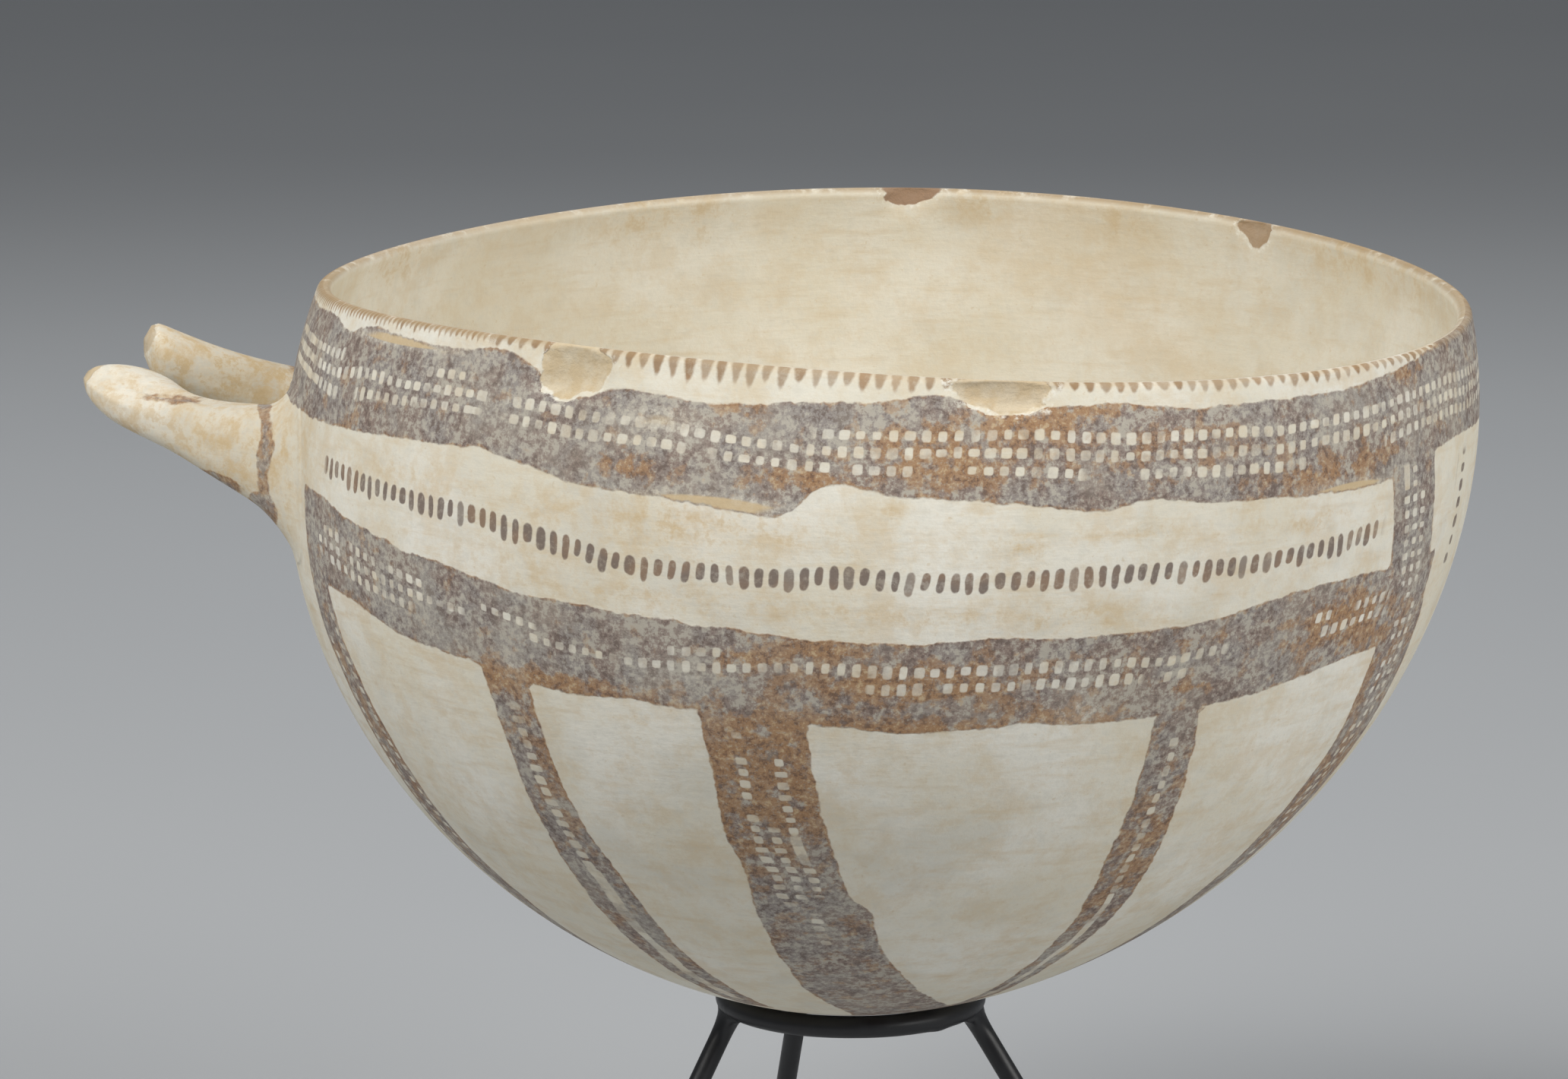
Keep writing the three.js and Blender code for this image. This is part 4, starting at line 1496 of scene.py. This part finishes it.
    def slip_colour(self, graph: Graph) -> bpy.types.NodeSocket:
        """The cream ground: pale and greyer clouds, buff stains, wiping marks, small dark specks and painted
        shade.
        """
        _, stain_and_shade, inside = graph.vector("tones")
        broad = graph.noise(26.0, 3.0, 0.55, shift=2.2)
        colour = graph.mix(broad.rise(0.38, 0.66), self.slip, self.pale_slip)
        grey = graph.noise(15.0, 4.0, 0.6, shift=4.9).rise(0.50, 0.72)
        colour = graph.mix(grey * 0.5, colour, self.grey_slip)
        wiped = graph.noise(5.0, 4.0, 0.62, stretch=(0.35, 0.35, 2.6), shift=3.3)
        colour = graph.mix(wiped.rise(0.50, 0.76) * 0.40, colour, self.stain_and_shade)
        blotch = graph.noise(7.0, 5.0, 0.72, shift=7.1)
        # The stain attribute also carries painted shade on the far stump.
        strength = (stain_and_shade * 0.5 + 0.42) * blotch.rise(0.44, 0.64)
        colour = graph.mix((stain_and_shade * 0.24).clipped(), colour, self.stain_and_shade)
        colour = graph.mix(strength.clipped() * 0.75, colour, self.stain_and_shade)
        mottle = graph.noise(2.2, 4.0, 0.74, shift=13.3)
        colour = graph.mix(mottle.rise(0.48, 0.68) * (0.34 + stain_and_shade * 0.16), colour, self.grey_slip)
        soil_and_shade = (0.14 + stain_and_shade * 0.45).clipped()
        colour = graph.mix((1.0 - mottle.rise(0.36, 0.52)) * soil_and_shade, colour, self.stain_and_shade)
        inner_blotch = graph.noise(20.0, 3.0, 0.55, stretch=(0.7, 0.7, 1.6), shift=11.0).rise(0.50, 0.70)
        # Painted shade: the inside of the bowl is darkened.
        colour = graph.mix(inside * 0.32, colour, self.painted_inner_shade)
        colour = graph.mix(inside * inner_blotch * 0.26, colour, self.stain_and_shade)
        speck = graph.noise(0.9, 2.0, 0.5, shift=5.5).rise(0.68, 0.76)
        return graph.mix(speck * 0.4, colour, self.clay)

    def brushwork(self, graph: Graph, ground: bpy.types.NodeSocket, bare: Field) -> bpy.types.NodeSocket:
        """Lays the strokes between the bands and the ticks under the lip over the bare part of a ground."""
        rust, _, _ = graph.vector("tones")
        warm = graph.noise(9.0, 2.0, shift=10.4).rise(0.48, 0.62)
        stroke_colour = graph.mix((warm * 0.35 + rust * 0.5).clipped(), self.stroke_paint, self.rust_paint)
        ground = graph.mix(self.strokes(graph) * bare * 0.92, ground, stroke_colour)
        tick_colour = graph.mix(warm * 0.6, self.tick_paint, self.rust_paint)
        return graph.mix(self.ticks(graph) * bare * 0.9, ground, tick_colour)

    def scarred(
        self, graph: Graph, ground: bpy.types.NodeSocket, scar: Field, worn: Field
    ) -> bpy.types.NodeSocket:
        """Wears a ground at the lip's edge, and breaks it away to buff or red clay inside the scars."""
        _, redness, crest = graph.vector("scars")
        edge = crest * graph.noise(3.0, 4.0, 0.65, shift=17.0).rise(0.26, 0.50)
        ground = graph.mix(edge * 0.82, ground, self.edge_wear)
        ground = graph.mix(scar.rise(-0.8, -0.35) * worn * 0.8, ground, self.pale_slip)
        clay = graph.mix(graph.noise(3.0, 4.0, 0.6, shift=9.9).rise(0.4, 0.65) * 0.4, self.clay, self.slip)
        clay = graph.mix(redness * 0.9, clay, self.red_clay)
        return graph.mix(self.bared(scar), ground, clay)

    def bared(self, scar: Field) -> Field:
        """1 where the clay lies bare in a scar and 0 where the slip is left, by the depth inside the scar."""
        return scar.rise(-0.10, 0.15)

    def material(self) -> bpy.types.Material:
        """Builds the bowl's material: slip, then paint, then brushwork, and what has broken or worn away."""
        graph = Graph("painted_slip")
        cover, depth = self.painted(graph)
        worn = graph.noise(1.2, 4.0, 0.72, shift=3.8).rise(0.48, 0.66)
        thin = (graph.number("thinness") * 0.7 + 0.12).clipped() * (1.0 - self.washed(graph) * 0.8)
        shown = cover * (1.0 - thin * (0.3 + worn * 0.7))
        colour = graph.mix(shown, self.slip_colour(graph), self.paint_colour(graph, depth))
        colour = self.brushwork(graph, colour, (1.0 - cover) * (1.0 - worn * 0.22))
        scar, _, _ = graph.vector("scars")
        scar = scar + (graph.noise(2.4, 3.0, 0.6, shift=6.1) - 0.5) * 1.1
        colour = self.scarred(graph, colour, scar, worn)
        bared = self.bared(scar)
        grain = graph.noise(1.4, 4.0, 0.65, shift=0.6)
        brushed = graph.noise(2.5, 3.0, 0.6, stretch=(0.4, 0.4, 2.4), shift=4.4)
        ground = depth.rise(*self.paint_edge)
        relief = grain * 0.5 + brushed * 0.35 + ground * 0.22 + bared * (grain - 1.0) * 1.2
        graph.bump(relief, self.relief_depth)
        gloss = self.roughness - cover * 0.12 + bared * 0.1 + (grain - 0.5) * 0.12
        return graph.finish({"Base Color": colour, "Roughness": gloss, "IOR": self.refraction})


@dataclass(frozen=True)
class BlackRodPaint:
    """Thin black paint on mild steel rod, a little worn where it was handled."""

    paint: Colour = (0.008, 0.008, 0.010)
    dusty: Colour = (0.028, 0.029, 0.033)
    roughness: float = 0.42
    refraction: float = 1.5
    relief_depth: float = 0.03

    def material(self) -> bpy.types.Material:
        """Builds the stand's material."""
        graph = Graph("black_rod_paint")
        dust = graph.noise(4.0, 4.0, 0.6, shift=1.0).rise(0.45, 0.75)
        fine = graph.noise(0.7, 3.0, 0.6, shift=2.0)
        colour = graph.mix(dust * 0.5, self.paint, self.dusty)
        graph.bump(fine * 0.3 + graph.noise(6.0, 2.0, shift=5.0) * 0.5, self.relief_depth)
        gloss = self.roughness + dust * 0.2 + (fine - 0.5) * 0.1
        return graph.finish({"Base Color": colour, "Roughness": gloss, "IOR": self.refraction})


@dataclass(frozen=True)
class PaleFloor:
    """The plain matt surface that the stand is set on."""

    colour: Colour = (0.43, 0.44, 0.45)
    cooler: Colour = (0.41, 0.42, 0.435)
    roughness: float = 0.85
    cloud_size: float = 240.0

    def material(self) -> bpy.types.Material:
        """Builds the floor's material."""
        graph = Graph("pale_floor")
        colour = graph.mix(graph.noise(self.cloud_size), self.colour, self.cooler)
        return graph.finish({"Base Color": colour, "Roughness": self.roughness})


# The pieces

@dataclass(frozen=True)
class Bowl:
    """The fired bowl with its stumps: one closed skin."""

    columns: int = 420
    outer_rows: int = 124
    lip_rows: int = 9
    inner_rows: int = 50
    outer_crowding: float = 0.13
    inner_crowding: float = 0.06
    lip_room: float = 0.25
    dent_depth: float = 0.16
    dents_start: float = 14.0
    dents_full: float = 40.0

    def profile(self) -> tuple[np.ndarray, np.ndarray]:
        """Up the outside, over the rounded lip and down the inside, as radii and heights."""
        top = FORM.height - self.lip_room - FORM.wall_at_rim / 2
        upwards = FORM.levels(self.outer_rows, top, self.outer_crowding)
        downwards = FORM.levels(self.inner_rows, top, self.inner_crowding)[::-1]
        outer_radius, outer_height = FORM.profile(upwards, 0.0)
        inner_radius, inner_height = FORM.profile(downwards, 1.0)
        outer = np.array([outer_radius[-1], outer_height[-1]])
        inner = np.array([inner_radius[0], inner_height[0]])
        middle, across = (outer + inner) / 2, (outer - inner) / 2
        rise = np.array([-across[1], across[0]])
        turn = np.pi * np.arange(1, self.lip_rows + 1)[:, None] / (self.lip_rows + 1)
        lip = middle + across * np.cos(turn) + rise * np.sin(turn)
        radius = np.concatenate([outer_radius[1:], lip[:, 0], inner_radius[:-1]])
        return radius, np.concatenate([outer_height[1:], lip[:, 1], inner_height[:-1]])

    def body(self) -> bpy.types.Object:
        """The hollow body: the profile turned about the axis, dented by hand and chipped at the lip."""
        radius, height = self.profile()
        azimuth = np.linspace(-180, 180, self.columns, endpoint=False)
        turned, level = np.meshgrid(azimuth, height)
        reach = np.broadcast_to(radius[:, None], turned.shape)
        for flake in FLAKES:
            reach = flake.scooped(turned, reach, level)
        dents = ripple(np.cos(np.radians(turned)) * 5, level / 9 + 2 * np.sin(np.radians(turned)), 3)
        reach = reach + self.dent_depth * (dents - 1) * smoothstep(self.dents_start, self.dents_full, level)
        rings = SEAT.outward(FORM.place(turned, reach, level))
        thickness = float(FORM.wall(np.array(0.0)))
        poles = SEAT.outward(np.array([[0.0, 0.0, 0.0], [0.0, 0.0, thickness]]))
        points, faces = closed_skin(rings, poles[0], poles[1])
        return make_piece("milk_bowl", points, faces)

    def build(self, finish: PaintedSlip) -> bpy.types.Object:
        """Joins the stumps to the body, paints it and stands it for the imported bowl."""
        body = self.body()
        stumps = []
        for stump in STUMPS:
            points, faces = stump.skin()
            stumps.append(make_piece("stump_" + stump.name, SEAT.outward(points), faces))
        bowl = joined(body, stumps)
        BowlPainter(SEAT.inward(mesh_points(bowl.data) / MM)).paint(bowl.data)
        bowl.data.materials.clear()
        bowl.data.materials.append(finish.material())
        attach(bowl, "root")
        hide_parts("bowl")
        return bowl


class Leg(Enum):
    """The stand's legs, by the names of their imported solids."""

    BACK = "stand_leg_back"
    LEFT = "stand_leg_left"
    RIGHT = "stand_leg_right"


@dataclass(frozen=True)
class RingStand:
    """A ring of steel rod on three splayed legs of the same rod, welded under it."""

    rod: float = SEAT.rod
    ring_radius: float = SEAT.ring_radius
    seam_azimuth: float = -37.0
    seam_lump: float = 0.2
    seam_half_width: float = 1.6
    bedding: float = 0.26
    bedding_angle: float = 1.82
    bedding_spread: float = 0.7
    paint_unevenness: float = 0.03
    weld: float = 4.6
    sunk_in_ring: float = 0.6
    leg_crowding: float = 1.4
    foot_edge: float = 0.25
    foot_inset: float = 0.86
    edge_tolerance: float = 0.05
    sides: int = 40
    ring_steps: int = 240
    leg_steps: int = 60

    def dress(self, piece: bpy.types.Object, node: str, material: bpy.types.Material) -> bpy.types.Object:
        """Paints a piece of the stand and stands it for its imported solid."""
        piece.data.materials.append(material)
        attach(piece, "root")
        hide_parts(node)
        return piece

    def ring(self, material: bpy.types.Material) -> bpy.types.Object:
        """A torus: a circle of the rod's radius carried round, thicker at its own weld and under the bowl."""
        centre = SEAT.ring_centre()
        around = np.linspace(0, 2 * np.pi, self.ring_steps, endpoint=False)[:, None]
        about = np.linspace(0, 2 * np.pi, self.sides, endpoint=False)[None, :]
        off_seam = self.ring_radius * (around - np.radians(self.seam_azimuth) % (2 * np.pi))
        underneath = np.clip(-np.sin(about) + 0.2, 0, 1)
        lump = self.seam_lump * np.exp(-((off_seam / self.seam_half_width) ** 2)) * underneath
        bedding = self.bedding * np.exp(-(((about - self.bedding_angle) / self.bedding_spread) ** 2))
        uneven = self.paint_unevenness * ripple(around * 9, about * 2, 5)
        thickness = self.rod / 2 + lump + bedding + uneven
        reach = self.ring_radius + thickness * np.cos(about)
        x, y = reach * np.cos(around), reach * np.sin(around)
        points = np.stack([x, y, thickness * np.sin(about) * np.ones_like(x)], axis=-1) + centre
        faces = grid_faces(self.ring_steps + 1, self.sides) % (self.ring_steps * self.sides)
        piece = make_piece("ring_of_rod", points.reshape(-1, 3), faces.tolist())
        return self.dress(piece, "stand_ring", material)

    def line_of(self, leg: Leg) -> tuple[np.ndarray, np.ndarray]:
        """The middles of the top edge and the bottom edge of a leg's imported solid."""
        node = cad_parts[leg.value]
        corners = np.array([vertex.co for vertex in node.data.vertices]) / MM
        corners = corners @ np.array(node.matrix_world)[:3, :3].T
        top = corners[corners[:, 2] > corners[:, 2].max() - self.edge_tolerance]
        foot = corners[corners[:, 2] < self.edge_tolerance]
        start, end = (edge.min(axis=0) / 2 + edge.max(axis=0) / 2 for edge in (top, foot))
        return start, end

    def leg(self, leg: Leg, material: bpy.types.Material) -> bpy.types.Object:
        """A rod from inside the ring to the floor, filled out by its weld where it meets the ring."""
        start, end = self.line_of(leg)
        axis = (end - start) / np.linalg.norm(end - start)
        side = np.cross(axis, [0, 0, 1.0])
        side = side / np.linalg.norm(side)
        front = np.cross(axis, side)
        buried = start - axis * (self.rod / 2 + self.sunk_in_ring)
        about = np.linspace(0, 2 * np.pi, self.sides, endpoint=False)[None, :]
        share = np.linspace(0, 1, self.leg_steps)[:, None] ** self.leg_crowding
        spoke = np.cos(about)[..., None] * side + np.sin(about)[..., None] * front
        line = buried + share[..., None] * (end - buried)
        outward = (start - SEAT.ring_centre()) * [1, 1, 0]
        tangent = np.cross(outward / np.linalg.norm(outward), [0, 0, 1.0])
        sunk = np.clip(1 - share * np.linalg.norm(end - buried) / (self.rod / 2), 0, 1)
        skin = line + spoke * (self.rod / 2 * np.sqrt(1 - sunk**2))[..., None]
        flare = fillet(self.off_ring(skin), self.weld) * (spoke @ tangent) * (1 - sunk)
        points = skin + flare[..., None] * tangent
        points[-1, :, :2] -= points[-1, :, 2:] * (axis[:2] / axis[2])
        points[-1, :, 2] = 0.0
        inset = end + (points[-1] - end) * self.foot_inset
        points[-1, :, 2] = self.foot_edge
        rings = np.concatenate([points, inset[None]])
        piece = make_piece(leg.value.replace("stand_", "rod_"), *closed_skin(rings, buried, end))
        return self.dress(piece, leg.value, material)

    def off_ring(self, points: np.ndarray) -> np.ndarray:
        """How far points lie outside the ring's rod."""
        away = points - SEAT.ring_centre()
        return np.hypot(np.hypot(away[..., 0], away[..., 1]) - self.ring_radius, away[..., 2]) - self.rod / 2

    def build(self, finish: BlackRodPaint) -> list[bpy.types.Object]:
        """Builds the ring and its legs."""
        material = finish.material()
        return [self.ring(material), *(self.leg(leg, material) for leg in Leg)]


@dataclass(frozen=True)
class Lamp:
    """A soft square lamp: where it hangs in metres, the length of its side, its watts and its colour."""

    name: str
    at: Triple
    size: float
    power: float
    colour: Colour

    def hang(self, aim: Triple) -> None:
        """Adds the lamp to the scene, facing a point."""
        data = bpy.data.lights.new(self.name, "AREA")
        data.shape, data.size, data.energy, data.color = "SQUARE", self.size, self.power, self.colour
        lamp = bpy.data.objects.new(self.name, data)
        lamp.location = self.at
        lamp.rotation_euler = (Vector(self.at) - Vector(aim)).to_track_quat("Z", "Y").to_euler()
        bpy.context.scene.collection.objects.link(lamp)


LAMPS = (
    Lamp("key", (-0.62, -0.84, 1.22), 0.8, 18.5, (1.0, 0.99, 0.965)),
    Lamp("side", (1.15, -0.45, 0.85), 0.9, 13.0, (1.0, 0.99, 0.965)),
    Lamp("back", (-0.2, 0.9, 0.9), 0.8, 3.0, (0.97, 0.99, 1.0)),
)


@dataclass(frozen=True)
class Studio:
    """The floor, the lights and the camera at the photograph's angle."""

    lens: float = 145.35
    sensor: float = 36.0
    heading: float = 11.0
    pitch: float = 10.05
    from_pole: Triple = (176.887, -957.068, 246.398)
    floor_size: float = 14.0
    lit_point: Triple = (0.0, 0.0, 0.12)
    sky: Colour = (0.86, 0.90, 0.95)
    sky_strength: float = 0.20

    def floor(self, finish: PaleFloor) -> bpy.types.Object:
        """A level square under the stand."""
        half = self.floor_size / 2 / MM
        corners = np.array([[-half, -half, 0], [half, -half, 0], [half, half, 0], [-half, half, 0]])
        floor = make_piece("floor", corners, [[0, 1, 2, 3]])
        floor.data.materials.append(finish.material())
        return floor

    def camera(self) -> None:
        """The camera: the way it looks, and where it stands against the bowl's lowest point."""
        turn, tilt = np.radians(self.heading), np.radians(self.pitch)
        right = np.array([np.cos(turn), np.sin(turn), 0.0])
        ahead = np.array([-np.sin(turn) * np.cos(tilt), np.cos(turn) * np.cos(tilt), -np.sin(tilt)])
        matrix = Matrix.Identity(4)
        for column, direction in enumerate((right, np.cross(right, ahead), -ahead)):
            for row in range(3):
                matrix[row][column] = direction[row]
        matrix.translation = (SEAT.pole() + np.array(self.from_pole)) * MM
        data = bpy.data.cameras.new("camera")
        data.lens, data.sensor_width, data.sensor_fit = self.lens, self.sensor, "HORIZONTAL"
        data.clip_start, data.clip_end = 0.01, 100.0
        camera = bpy.data.objects.new("camera", data)
        camera.matrix_world = matrix
        bpy.context.scene.collection.objects.link(camera)
        bpy.context.scene.camera = camera

    def build(self) -> None:
        """Sets up the whole studio."""
        self.floor(PaleFloor())
        self.camera()
        for lamp in LAMPS:
            lamp.hang(self.lit_point)
        world = bpy.data.worlds.new("studio")
        world.use_nodes = True
        background = world.node_tree.nodes["Background"]
        background.inputs["Color"].default_value = (*self.sky, 1.0)
        background.inputs["Strength"].default_value = self.sky_strength
        bpy.context.scene.world = world
        bpy.context.scene.view_settings.view_transform = "Standard"


def report(piece: bpy.types.Object) -> None:
    """Logs one finished piece."""
    log.info("%s: %d faces", piece.name, len(piece.data.polygons))


def main() -> None:
    """Builds the bowl, its stand and the studio, and logs the faces of the bowl and the stand's pieces."""
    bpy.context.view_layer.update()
    report(Bowl().build(PaintedSlip()))
    for piece in RingStand().build(BlackRodPaint()):
        report(piece)
    Studio().build()
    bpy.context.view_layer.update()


if __name__ == "__main__":
    logging.basicConfig(level=logging.INFO, format="%(message)s")
    main()
